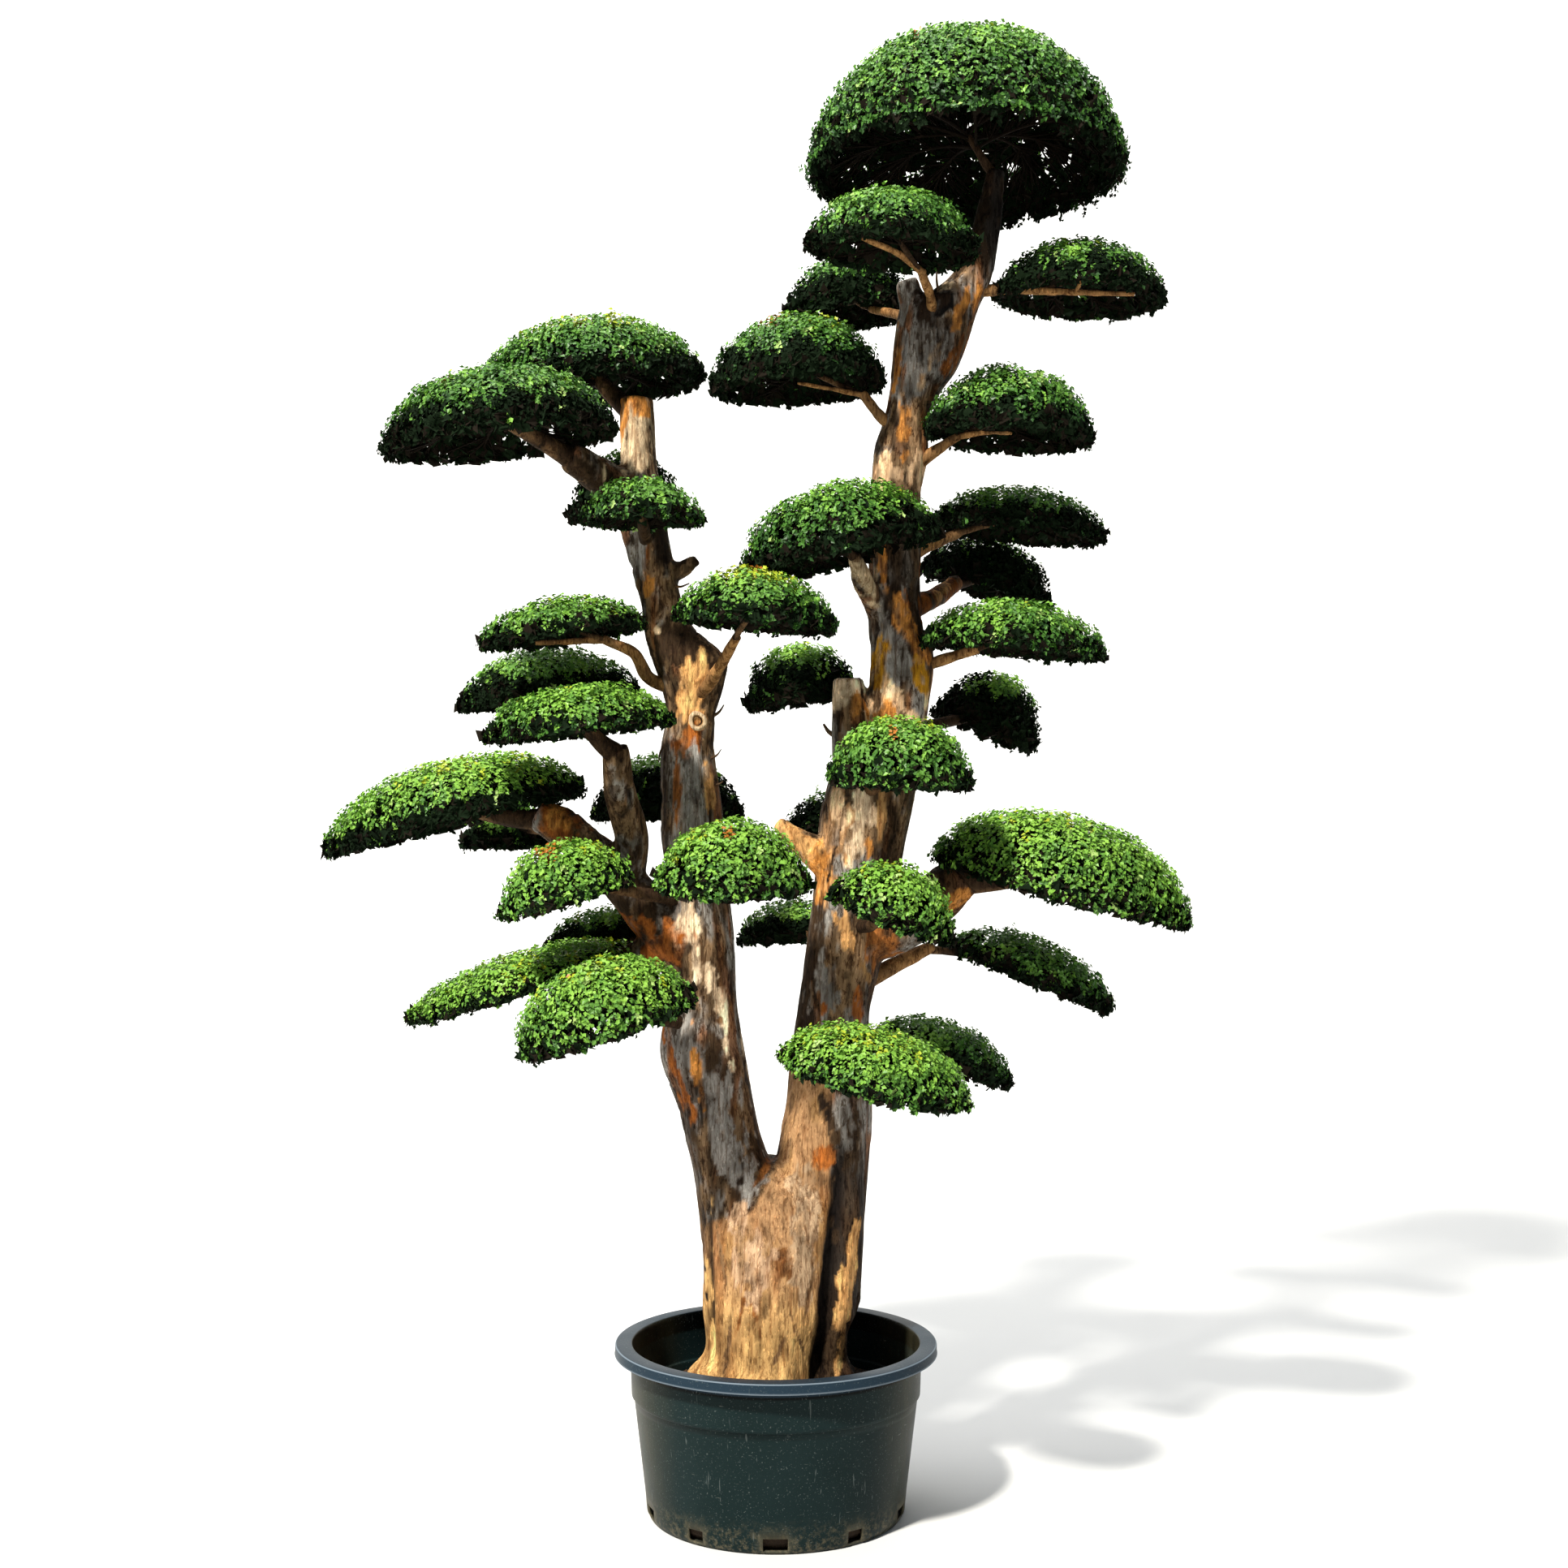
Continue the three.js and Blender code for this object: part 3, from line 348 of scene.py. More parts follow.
# The trunk, its two stems and the stout boughs
# One old living elm: a short stout trunk forked low down, with stubs where limbs were sawn off. The
# bark flakes in small plates, grey over rust and orange, and the bare foot shows tan wood in long flutes.
FLARE_TOP = 320 * MM
WOOD_COLUMNS = 72
WOOD_PITCH = 5.2 * MM
SWELL_RISE = 3.2 * MM
FLUTE_RISE = 2.4 * MM
CRACK_DEPTH = 3.6 * MM
PIT_DEPTH = 1.4 * MM
RIDGE_RISE = 8 * MM
GROOVE_DEPTH = 14 * MM
SPLIT_DEPTH = 8 * MM
RIPPLE_RISE = 5 * MM
BARK_BEND = 30 * MM

# Stations up the trunk and the stems in mm: height, middle x and y, and half width across and deep.
TRUNK_BODY = [
    (215, -18, 0, 158, 142), (238, -14, 0, 155, 138), (260, -11, 0, 151, 132), (294, -3, 0, 132, 122),
    (335, 0, 0, 133, 120), (380, 8, 0, 144, 122), (455, 10, 0, 146, 120), (540, 10, 0, 153, 107),
    (600, 9, 0, 148, 90), (652, 8, 0, 92, 60),
]
LEFT_WOOD = [
    (450, -62, 0, 70, 80), (540, -72, 0, 73, 84), (635, -82, 0, 76, 80), (700, -98, 0, 74, 74),
    (760, -110, 0, 74, 70), (846, -132, 0, 79, 70), (922, -135, -2, 70, 64), (1040, -133, -4, 60, 58),
    (1220, -156, -2, 58, 56), (1300, -158, 0, 57, 55), (1410, -166, 2, 51, 50), (1480, -158, 0, 46, 48),
    (1540, -156, -2, 60, 54), (1588, -163, -4, 70, 56), (1640, -198, -4, 46, 46), (1700, -216, -2, 39, 40),
    (1850, -250, 8, 45, 42), (1915, -260, 10, 45, 40), (1950, -257, 12, 34, 33), (2075, -262, 20, 31, 30),
]
RIGHT_WOOD = [
    (450, 72, 0, 78, 84), (540, 82, 0, 83, 86), (635, 86, 0, 88, 84), (700, 94, 0, 86, 80),
    (760, 102, 0, 81, 74), (850, 106, 0, 76, 70), (922, 108, 0, 68, 66), (1000, 121, 0, 71, 68),
    (1106, 134, 0, 73, 70), (1184, 148, 0, 79, 70), (1333, 173, 0, 86, 70), (1400, 194, 0, 78, 66),
    (1460, 222, 0, 62, 60), (1590, 233, 0, 58, 56), (1645, 222, 0, 50, 50), (1850, 222, 0, 47, 46),
    (1970, 234, 0, 49, 46), (2022, 241, 0, 42, 42), (2076, 257, 0, 46, 44), (2131, 279, 0, 62, 50),
    (2238, 304, 0, 72, 50), (2268, 336, 4, 52, 40), (2330, 378, 8, 30, 28), (2500, 412, 15, 15, 15),
]
# A limb is the points that its middle passes through, and its radius at either end, in mm.
STUBS = [
    ([(-222, 0, 1735), (-180, -3, 1750), (-148, -5, 1770)], (24, 10)),
    ([(-216, 0, 1722), (-246, -6, 1722), (-262, -9, 1727)], (17, 9)),
    ([(158, -12, 1320), (140, -20, 1440), (133, -26, 1548)], (50, 28)),
    ([(110, -18, 1195), (55, -24, 1238), (2, -27, 1278)], (40, 12)),
    ([(285, 0, 2190), (258, -3, 2240), (243, -6, 2288)], (34, 20)),
]
BOUGHS = {
    "bough_left_low": (
        [(-140, 0, 1035), (-210, 0, 1085), (-300, 0, 1185), (-385, 0, 1262), (-445, 0, 1292)], (56, 30),
    ),
    "bough_left_upright": (
        [(-276, -6, 1165), (-268, -26, 1245), (-286, -52, 1335), (-293, -84, 1420)], (32, 27),
    ),
    "bough_left_lower": ([(-134, 0, 990), (-205, 8, 1028), (-270, 18, 1040)], (38, 24)),
    "bough_left_top": ([(-250, 4, 1870), (-318, -20, 1918), (-380, -62, 1950)], (42, 27)),
    "bough_left_cranked": (
        [(-160, 0, 1525), (-232, -18, 1545), (-262, -34, 1592), (-318, -48, 1618)], (15, 8),
    ),
    "bough_left_prop": ([(-158, -6, 1500), (-114, -76, 1545), (-70, -158, 1612)], (15, 8)),
    "bough_right_low": ([(148, 0, 1075), (225, -6, 1088), (290, -16, 1136), (345, -28, 1182)], (60, 40)),
    "bough_right_lower": ([(118, 0, 955), (200, 22, 1000), (296, 72, 1044)], (22, 12)),
    "bough_right_hook": ([(292, 0, 2195), (284, -62, 2240), (262, -106, 2282)], (12, 7)),
    "bough_right_back": ([(296, 0, 2215), (236, 62, 2240), (182, 128, 2268)], (12, 7)),
    "bough_right_long": ([(356, 4, 2268), (425, 10, 2276), (500, 16, 2274)], (13, 7)),
    "bough_right_short": ([(245, 0, 1992), (196, -6, 2034), (160, -9, 2078)], (14, 8)),
    "bough_right_strut": ([(236, 0, 1925), (286, -20, 1962), (336, -38, 1992)], (15, 8)),
    "bough_right_pale": ([(204, 0, 1660), (166, -46, 1712), (144, -82, 1768)], (30, 13)),
    "bough_right_wing": ([(218, 0, 1760), (276, 36, 1795), (350, 84, 1832)], (16, 9)),
    "bough_right_rear": ([(220, 0, 1672), (292, 72, 1702), (352, 178, 1746)], (26, 14)),
    "bough_right_shelf": ([(232, 0, 1558), (300, -22, 1578), (372, -44, 1600)], (14, 8)),
}
STOUT = ["bough_left_low", "bough_left_upright", "bough_left_lower", "bough_left_top"]
STOUT += ["bough_right_low", "bough_right_pale", "bough_right_rear"]

# Colours of bark, bare wood, cracks and hollows.
WARM_BARK = (0.27, 0.165, 0.085)
COOL_BARK = (0.26, 0.24, 0.215)
DARK_BARK = (0.045, 0.026, 0.013)
RUST_BROWN = (0.28, 0.1, 0.024)
GREY = (0.25, 0.235, 0.215)
BROWN = (0.19, 0.105, 0.048)
DARK = (0.022, 0.013, 0.008)
TAN = (0.38, 0.21, 0.08)
GOLD = (0.84, 0.5, 0.19)
PINK_TAN = (0.4, 0.225, 0.105)
LIGHT_PINK = (0.783, 0.513, 0.297)
CREAM = (0.6, 0.45, 0.28)
# Painted light: cream bark made paler, as if sunlit, for spots that pads shade from the key light.
SUNLIT_CREAM = (0.82, 0.62, 0.41)
ROSE_WOOD = (0.5, 0.32, 0.19)
PALE_WOOD = (0.4, 0.27, 0.16)
ORANGE = (0.56, 0.23, 0.05)
LIGHT_ORANGE = (0.744, 0.396, 0.144)
RUST = (0.33, 0.1, 0.018)
OCHRE = (0.42, 0.2, 0.012)
# Painted shade: a near black for the groove down the foot and a deep fork high on the right stem.
HOLLOW_SHADE = (0.006, 0.004, 0.003)
KNOT = (0.15, 0.06, 0.018)
# Patches on the bark, each laid over those before it: middle x and z, half width and half height in mm,
# lean to +x per height, and colour.
# Painted shade: the broad dark patches in the first seven rows, and the near-black ones in the right stem's
# fork and on the left stem at 1.8 m, darken bark where pads above cast shadow.
PATCHES = [
    (-290, 1130, 105, 100, 0, DARK_BARK), (-190, 1062, 60, 34, 0.2, DARK_BARK),
    (-184, 1600, 52, 50, 0, DARK_BARK), (-208, 1790, 18, 60, -0.2, DARK_BARK),
    (-104, 1530, 18, 80, -0.1, DARK_BARK), (-175, 1765, 34, 18, 0.5, DARK_BARK),
    (-268, 1690, 20, 60, 0, COOL_BARK), (-330, 1905, 70, 40, -0.4, DARK_BARK),
    (308, 2226, 24, 46, 0.3, HOLLOW_SHADE), (60, 1040, 30, 150, 0.15, DARK_BARK),
    (190, 1060, 34, 60, 0, RUST_BROWN), (230, 1400, 40, 40, 0, DARK_BARK),
    (206, 1840, 26, 60, 0, DARK_BARK), (260, 1650, 30, 60, 0, DARK_BARK),
    (-88, 700, 34, 130, -0.3, COOL_BARK), (-140, 830, 22, 60, -0.3, COOL_BARK),
    (96, 960, 22, 60, 0, COOL_BARK), (60, 900, 10, 60, 0.1, DARK), (-150, 1260, 24, 70, 0, COOL_BARK),
    (104, 1392, 22, 70, 0, COOL_BARK), (216, 1650, 20, 60, 0, COOL_BARK), (-115, 862, 15, 38, 0, DARK_BARK),
    (286, 2236, 30, 50, 0.2, DARK), (238, 2236, 9, 50, 0, GREY), (308, 1718, 44, 40, 0.5, RUST),
    (312, 1716, 14, 26, 0.4, LIGHT_ORANGE), (158, 1726, 24, 30, -0.4, CREAM),
    (-216, 1800, 13, 60, -0.25, DARK), (-240, 1790, 8, 46, -0.1, RUST_BROWN), (214, 1700, 12, 40, 0, DARK),
    (246, 2090, 18, 60, 0.3, COOL_BARK), (144, 700, 14, 90, 0, DARK_BARK), (-124, 425, 9, 125, 0, GOLD),
    (-133, 459, 5, 8, 0, DARK), (-127, 410, 4, 15, 0, DARK), (-99, 485, 2.5, 60, -0.19, BROWN),
    (50, 540, 23, 112, 0, PALE_WOOD), (14, 486, 14, 21, 0, KNOT), (84, 668, 19, 18, 0.1, RUST),
    (77, 628, 20, 13, 0, BROWN), (28, 763, 4, 19, 0.2, BROWN), (14, 668, 7, 19, 0.2, BROWN),
    (98, 740, 13, 36, -0.3, DARK_BARK), (92, 752, 4, 22, -0.3, DARK),
    (131, 460, 10, 160, 0.12, LIGHT_ORANGE), (-60, 648, 3, 26, 0.1, DARK), (-70, 600, 4, 24, 0.1, DARK),
    (-141, 808, 9, 66, -0.15, ORANGE), (-24, 640, 6, 22, 0.6, RUST_BROWN), (-88, 318, 3.5, 66, 0.13, BROWN),
    (4, 322, 4, 44, 0.45, BROWN), (40, 352, 3.5, 40, -0.3, BROWN), (-34, 372, 3.5, 46, -0.25, RUST_BROWN),
    (-58, 415, 3.5, 44, 0.2, RUST_BROWN), (60, 420, 3.5, 50, 0.25, BROWN),
    (-40, 470, 26, 60, 0.2, ROSE_WOOD), (-66, 560, 20, 30, 0, ROSE_WOOD),
    # Painted light: the two pale cream strips on the left stem are cream bark brightened as if sunlit.
    (-158, 1105, 22, 46, -0.1, SUNLIT_CREAM), (-112, 975, 21, 116, -0.37, SUNLIT_CREAM),
    (-105, 916, 7, 10, 0, BROWN), (-215, 1050, 46, 25, 0.2, RUST), (-186, 830, 12, 90, -0.3, RUST),
    (-158, 1510, 28, 54, 0, LIGHT_ORANGE), (-146, 1478, 18, 24, 0, LIGHT_ORANGE),
    (-158, 1432, 24, 27, 0, RUST), (-122, 1350, 8, 46, -0.1, LIGHT_ORANGE),
    (-182, 1345, 9, 50, 0, RUST_BROWN), (-156, 1350, 16, 50, 0.1, GREY), (-239, 1716, 10, 23, 0, ORANGE),
    (-220, 1634, 9, 6, 0, CREAM), (-246, 1800, 6, 52, 0, GREY), (-258, 1995, 42, 80, 0, CREAM),
    (-286, 2050, 12, 44, 0, ORANGE), (-250, 2062, 16, 26, 0, ORANGE), (-262, 1080, 50, 26, 0.4, RUST),
    (-330, 1190, 30, 26, 0, ORANGE), (-400, 1284, 56, 44, -0.3, RUST), (-404, 1290, 24, 18, 0, ORANGE),
    (222, 2150, 12, 60, 0, ORANGE), (340, 2215, 17, 50, 0.4, ORANGE), (318, 2272, 12, 10, 0, CREAM),
    (238, 2150, 8, 60, 0, GREY), (300, 2150, 14, 44, 0.4, PALE_WOOD), (330, 2150, 12, 60, 0.5, RUST_BROWN),
    (230, 2008, 15, 58, 0.1, ORANGE), (222, 1922, 46, 38, 0, LIGHT_PINK), (236, 1950, 12, 26, 0.3, ORANGE),
    (196, 1765, 6, 54, -0.1, ORANGE), (244, 1642, 14, 50, -0.45, ORANGE), (192, 1556, 18, 43, 0, OCHRE),
    (262, 1546, 13, 27, 0, OCHRE), (228, 1560, 16, 34, 0, GREY), (214, 1488, 40, 38, 0, LIGHT_PINK),
    # Painted light: the pale cream patches on the stub and the right stem below are cream bark brightened as
    # if sunlit.
    (206, 1480, 26, 20, 0.2, ORANGE), (214, 1522, 34, 5, 0, CREAM), (122, 1524, 28, 36, 0.3, SUNLIT_CREAM),
    (146, 1498, 13, 16, 0, ORANGE), (163, 1300, 24, 66, 0.1, SUNLIT_CREAM),
    (142, 1228, 22, 30, 0.3, SUNLIT_CREAM), (170, 1240, 9, 26, 0, ORANGE), (193, 1300, 8, 50, 0, TAN),
    (110, 1262, 20, 88, 0.1, PINK_TAN), (115, 1300, 12, 40, 0, LIGHT_PINK),
    (30, 1238, 54, 60, -0.6, LIGHT_ORANGE), (80, 1180, 16, 48, 0.1, ORANGE), (116, 1262, 3, 92, 0.24, DARK),
    (118, 1090, 17, 52, -0.35, LIGHT_ORANGE), (166, 1002, 10, 27, -0.3, TAN), (86, 940, 7, 14, 0, RUST),
    (150, 950, 12, 25, 0, RUST), (330, 1140, 34, 24, 0.5, ORANGE), (270, 1120, 22, 18, 0.6, PALE_WOOD),
]
# The edge of the bare foot: its top over x, and its right side over z, in metres.
BARE_EDGE_X = (-0.14, -0.111, -0.06, -0.038, -0.016, 0.0, 0.02)
BARE_EDGE_Z = (0.54, 0.56, 0.569, 0.597, 0.624, 0.643, 0.84)
BARE_SIDE_Z = (0.3, 0.41, 0.64, 0.8)
BARE_SIDE_X = (0.066, 0.08, 0.1, 0.104)


def smooth_path(stations, count):
    """A Catmull-Rom curve through the rows of stations, at count even steps, for any number of columns."""
    stations = np.asarray(stations, dtype=float)
    knots = np.vstack([2 * stations[0] - stations[1], stations, 2 * stations[-1] - stations[-2]])
    step = np.linspace(0, len(stations) - 1, count)
    first = np.minimum(step.astype(int), len(stations) - 2)
    share = (step - first)[:, None]
    a, b, c, d = (knots[first + ahead] for ahead in range(4))
    cubic = (3 * b - a - 3 * c + d) * share ** 3 + (2 * a - 5 * b + 4 * c - d) * share ** 2
    return 0.5 * (2 * b + (c - a) * share + cubic)


def skins(rings):
    """Closed skins over tubes. The axes of rings are tube, ring, side and xyz; each end is a fan."""
    tubes, count, sides, _ = rings.shape
    ends = rings[:, [0, -1]].mean(axis=2)
    points = np.concatenate([rings.reshape(tubes, -1, 3), ends], axis=1)
    side = np.arange(sides)
    after = (side + 1) % sides
    low = (np.arange(count - 1) * sides)[:, None]
    wall_one = np.stack([low + side, low + after, low + after + sides], axis=-1).reshape(-1, 3)
    wall_two = np.stack([low + side, low + after + sides, low + side + sides], axis=-1).reshape(-1, 3)
    first = np.full(sides, count * sides)
    top = (count - 1) * sides
    caps = [np.stack([first, after, side], axis=-1), np.stack([first + 1, top + side, top + after], axis=-1)]
    faces = np.concatenate([wall_one, wall_two, *caps])
    faces = faces + (np.arange(tubes) * points.shape[1])[:, None, None]
    return points.reshape(-1, 3), faces.reshape(-1, 3)


def unit(vectors):
    return vectors / np.maximum(np.linalg.norm(vectors, axis=-1, keepdims=True), 1e-12)


def swept(curves, radii, sides):
    """Round tubes along curves: each ring stands square to its curve, at radius (cos a, sin a)."""
    tangent = unit(np.gradient(curves, axis=1))
    chord = unit(curves[:, -1] - curves[:, 0])
    guide = np.where(np.abs(chord[:, 2:]) > 0.75, np.array([(0.0, 1.0, 0.0)]), np.array([(0.0, 0.0, 1.0)]))
    right = unit(np.cross(guide[:, None], tangent))[:, :, None]
    over = np.cross(tangent[:, :, None], right)
    angle = (2 * np.pi * np.arange(sides) / sides)[:, None]
    return curves[:, :, None] + radii[:, :, None, None] * (np.cos(angle) * right + np.sin(angle) * over)


def upright_wood(stations):
    """Level slices up the stations: a fluted oval, its radius 1 + 0.035 sin 3a + 0.022 sin 5a and a flare."""
    path = smooth_path(stations, 12 * len(stations)) * MM
    height, x, y, across, deep = (path[:, column:column + 1] for column in range(5))
    angle = 2 * np.pi * np.arange(WOOD_COLUMNS) / WOOD_COLUMNS
    flare = np.clip(1 - (height - MIX_LEVEL) / (FLARE_TOP - MIX_LEVEL), 0, None)
    share = 1 + 0.035 * np.sin(3 * angle + height / 0.17) + 0.022 * np.sin(5 * angle - height / 0.11)
    share = share + 0.1 * flare * np.cos(5 * angle + 1.2)
    rings = [x + across * share * np.cos(angle), y + deep * share * np.sin(angle), height + 0 * share]
    return skins(np.stack(rings, axis=-1)[None])


def limb_wood(through, ends, sides=24, steps=28):
    """A tapering limb round a smooth curve through its points."""
    path = smooth_path(through, steps) * MM
    radii = np.linspace(ends[0], ends[1], steps) * MM
    return skins(swept(path[None], radii[None], sides))


def joined(shells):
    """Several shells as the points and faces of one mesh."""
    counts = np.cumsum([0] + [len(points) for points, _ in shells])
    faces = np.concatenate([faces + first for (_, faces), first in zip(shells, counts)])
    return np.concatenate([points for points, _ in shells]), faces


def fused(shells, pitch):
    """One skin over shells that pass through each other, on a lattice of that pitch, and its normals."""
    rough = new_piece("rough_wood", *joined(shells))
    lattice = rough.modifiers.new("fuse", "REMESH")
    lattice.mode = "VOXEL"
    lattice.voxel_size = pitch
    ease = rough.modifiers.new("ease", "SMOOTH")
    ease.factor = 0.5
    ease.iterations = 5
    shaped = rough.evaluated_get(bpy.context.evaluated_depsgraph_get()).to_mesh()
    shaped.calc_loop_triangles()
    points = np.empty(len(shaped.vertices) * 3, dtype=np.float32)
    normals = np.empty(len(shaped.vertices) * 3, dtype=np.float32)
    corners = np.empty(len(shaped.loop_triangles) * 3, dtype=np.int32)
    shaped.vertices.foreach_get("co", points)
    shaped.vertex_normals.foreach_get("vector", normals)
    shaped.loop_triangles.foreach_get("vertices", corners)
    bpy.data.objects.remove(rough)
    return points.reshape(-1, 3).astype(float), corners.reshape(-1, 3), normals.reshape(-1, 3).astype(float)


def ease_step(low, high, value):
    share = np.clip((value - low) / (high - low), 0, 1)
    return share * share * (3 - 2 * share)


def foot_lines(points):
    """A groove and a ridge down the right of the foot and a split down its left, each 0 to 1."""
    x, y, z = points.T
    front = ease_step(0.03, -0.02, y)
    groove = np.exp(-((x - np.interp(z, BARE_SIDE_Z, BARE_SIDE_X) - 0.015) / 0.014) ** 4)
    ridge = np.exp(-((x - 0.131 - 0.12 * (z - 0.46)) / 0.011) ** 2)
    split = np.exp(-((x + 0.116 + 0.03 * (z - 0.3)) / 0.005) ** 2)
    groove *= front * ease_step(0.23, 0.3, z) * ease_step(0.76, 0.62, z)
    ridge *= front * ease_step(0.25, 0.32, z) * ease_step(0.64, 0.54, z)
    split *= front * ease_step(0.27, 0.36, z) * ease_step(0.62, 0.54, z)
    return groove, ridge, split


def foot_ripple(points):
    """Long ripples in the bare wood of the foot, which fade out half a metre up."""
    return layered_noise(points * (34, 34, 9), 2, 5) * ease_step(0.5, 0.36, points[:, 2])


def bark_relief(points):
    """Height of the bark, its short cracks and its pits: swells, flutes and foot lines, less both."""
    groove, ridge, split = foot_lines(points)
    bend = np.stack([lattice_noise(points * (7, 7, 4), seed) for seed in (31, 32)], axis=1)
    wavy = points + np.pad(BARK_BEND * bend, ((0, 0), (0, 1)))
    line = 1 - ease_step(0.03, 0.17, np.abs(lattice_noise(wavy * (44, 44, 7), 9)))
    crack = line * ease_step(0.0, 0.35, lattice_noise(points * (22, 22, 13), 11))
    pit = ease_step(0.3, 0.62, lattice_noise(wavy * (92, 92, 40), 13))
    height = RIDGE_RISE * ridge - GROOVE_DEPTH * groove - SPLIT_DEPTH * split
    height += RIPPLE_RISE * foot_ripple(points)
    height += SWELL_RISE * layered_noise(points * (12, 12, 7), 2, 23)
    height += FLUTE_RISE * layered_noise(wavy * (30, 30, 3.4), 2, 3)
    return height - CRACK_DEPTH * crack - PIT_DEPTH * pit, crack, pit


def stain(colours, tint, share):
    """Moves colours toward a tint, in place, by each point's share."""
    colours += (tint - colours) * share[:, None]


def bark_colours(points, normals, crack, pit):
    """Brown-grey bark in streaks, bare tan wood at the foot by its edge, and the listed patches."""
    x, y, z = points.T
    broad = layered_noise(points * (11, 11, 6), 3, 41)
    fine = layered_noise(points * (60, 60, 24), 3, 43)
    flow = layered_noise(points * (60, 60, 4.5), 3, 67)
    streak = layered_noise(points * (38, 38, 6), 3, 53)
    ragged = layered_noise(points * (22, 22, 12), 3, 59)
    # Broad noise for blotches of painted shade.
    damp = layered_noise(points * (8, 8, 5), 2, 83) + 0.4 * streak
    colour = np.tile(WARM_BARK, (len(points), 1))
    stain(colour, COOL_BARK, ease_step(-0.25, 0.25, broad + 0.5 * fine))
    stain(colour, RUST_BROWN, 0.75 * ease_step(0.22, 0.6, streak + 0.35 * broad))
    stain(colour, DARK_BARK, 0.75 * ease_step(0.14, 0.55, flow - 0.3 * broad))
    # Painted shade: broad blotches darken the bark as if it lay in shadow.
    stain(colour, DARK_BARK, 0.7 * ease_step(0.12, 0.5, damp))
    # Painted shade: the bark above 2.3 m, under the crown, is darkened by up to eight tenths.
    colour *= ((1 + 0.5 * fine) * (1 - 0.8 * ease_step(2.3, 2.38, z)))[:, None]

    bare_top = np.interp(x, BARE_EDGE_X, BARE_EDGE_Z) + 0.014 * ragged + 0.006 * fine
    bare_side = np.interp(z, BARE_SIDE_Z, BARE_SIDE_X) + 0.006 * ragged + 0.004 * fine
    bare = ease_step(-0.005, 0.005, bare_top - z) * ease_step(-0.004, 0.004, bare_side - x)
    bare *= ease_step(0.06, 0.03, y)
    wood = np.tile(PINK_TAN, (len(points), 1))
    stain(wood, GOLD, ease_step(0.47, 0.33, z + 0.02 * ragged))
    stain(wood, TAN, ease_step(-0.1, 0.7, ragged))
    stain(wood, RUST_BROWN, 0.55 * ease_step(0.0, 0.7, 0.8 * flow + 0.6 * broad) * ease_step(0.75, 0.5, z))
    wood *= (1 + 0.3 * fine + 0.45 * np.minimum(foot_ripple(points), 0.1))[:, None]
    stain(colour, wood, bare)

    groove, _, split = foot_lines(points)
    beside = ease_step(-0.004, 0.008, x - bare_side) * ease_step(0.72, 0.6, z) * ease_step(0.04, 0.0, y)
    rough_side = np.tile(DARK_BARK, (len(points), 1))
    stain(rough_side, DARK, ease_step(-0.3, 0.4, flow))
    stain(colour, rough_side, 0.85 * beside)
    stain(colour, DARK, 0.9 * split)
    # Painted shade: the groove down the right of the foot is painted near black.
    stain(colour, HOLLOW_SHADE, 0.95 * groove)

    facing = ease_step(0.3, -0.1, normals[:, 1])
    facing *= 1 - 0.5 * ease_step(0.42, 0.55, layered_noise(points * (80, 80, 24), 3, 97))
    edge = np.maximum(1 + 0.5 * ragged + 0.6 * fine + 0.35 * flow, 0.3)
    shading = (1 + 0.4 * fine + 0.4 * np.clip(flow, -0.8, 0.5))[:, None]
    for middle_x, middle_z, half_x, half_z, lean, tint in PATCHES:
        off_x = (x - middle_x * MM - lean * (z - middle_z * MM)) / (half_x * MM)
        off_z = (z - middle_z * MM) / (half_z * MM)
        patch = facing * ease_step(1.1, 0.9, np.hypot(off_x, off_z) / edge)
        stain(colour, tint * shading, patch)
        bare = np.maximum(bare, patch)
    stain(colour, DARK, crack * (0.9 - 0.35 * bare))
    stain(colour, DARK_BARK, pit * (0.75 - 0.4 * bare))
    return np.clip(colour, 0.004, 0.9), bare


bark = Finish("elm_bark", (0.27, 0.15, 0.075), 0.85, 0.1)
bare_wood = bark.attribute("bare_wood")
speckle = bark.noise(150.0, 5.0, 0.7, (1, 1, 0.4))
fibre = bark.noise(230.0, 4.0, 0.6, (1, 1, 0.11))
grain = bark.noise(130.0, 5.0, 0.65, (1, 1, 0.07), 0.7)
furrow = bark.noise(85.0, 3.0, 0.6, (1, 1, 0.2), 0.9)
light_fleck = bark.rise(bark.noise(210.0, 3.0, stretch=(1, 1, 0.5)), 0.58, 0.7)
bark.paint(bark.attribute("bark_tint", "Color"), [
    ((0.24, 0.16, 0.1), 1, bark.rise(furrow, 0.53, 0.6), bark.between(bare_wood, 0.75, 0.4)),
    ((0.24, 0.17, 0.12), 1, bark.rise(speckle, 0.53, 0.61), bark.between(bare_wood, 0.85, 0.5)),
    ((0.36, 0.28, 0.22), 0.6, bark.rise(fibre, 0.53, 0.63)),
    ((1.7, 1.65, 1.6), 0.8, light_fleck),
    ((0.36, 0.21, 0.11), 0.6, bark.rise(grain, 0.5, 0.66), bare_wood),
], "MULTIPLY")
bark.feed("Roughness", bark.between(speckle, 0.68, 0.95))
bark.bump(
    (0.8, 2 * MM, speckle), (0.6, 1.6 * MM, fibre), (0.7, 4 * MM, furrow), (0.45, 1.6 * MM, grain),
    invert=True,
)

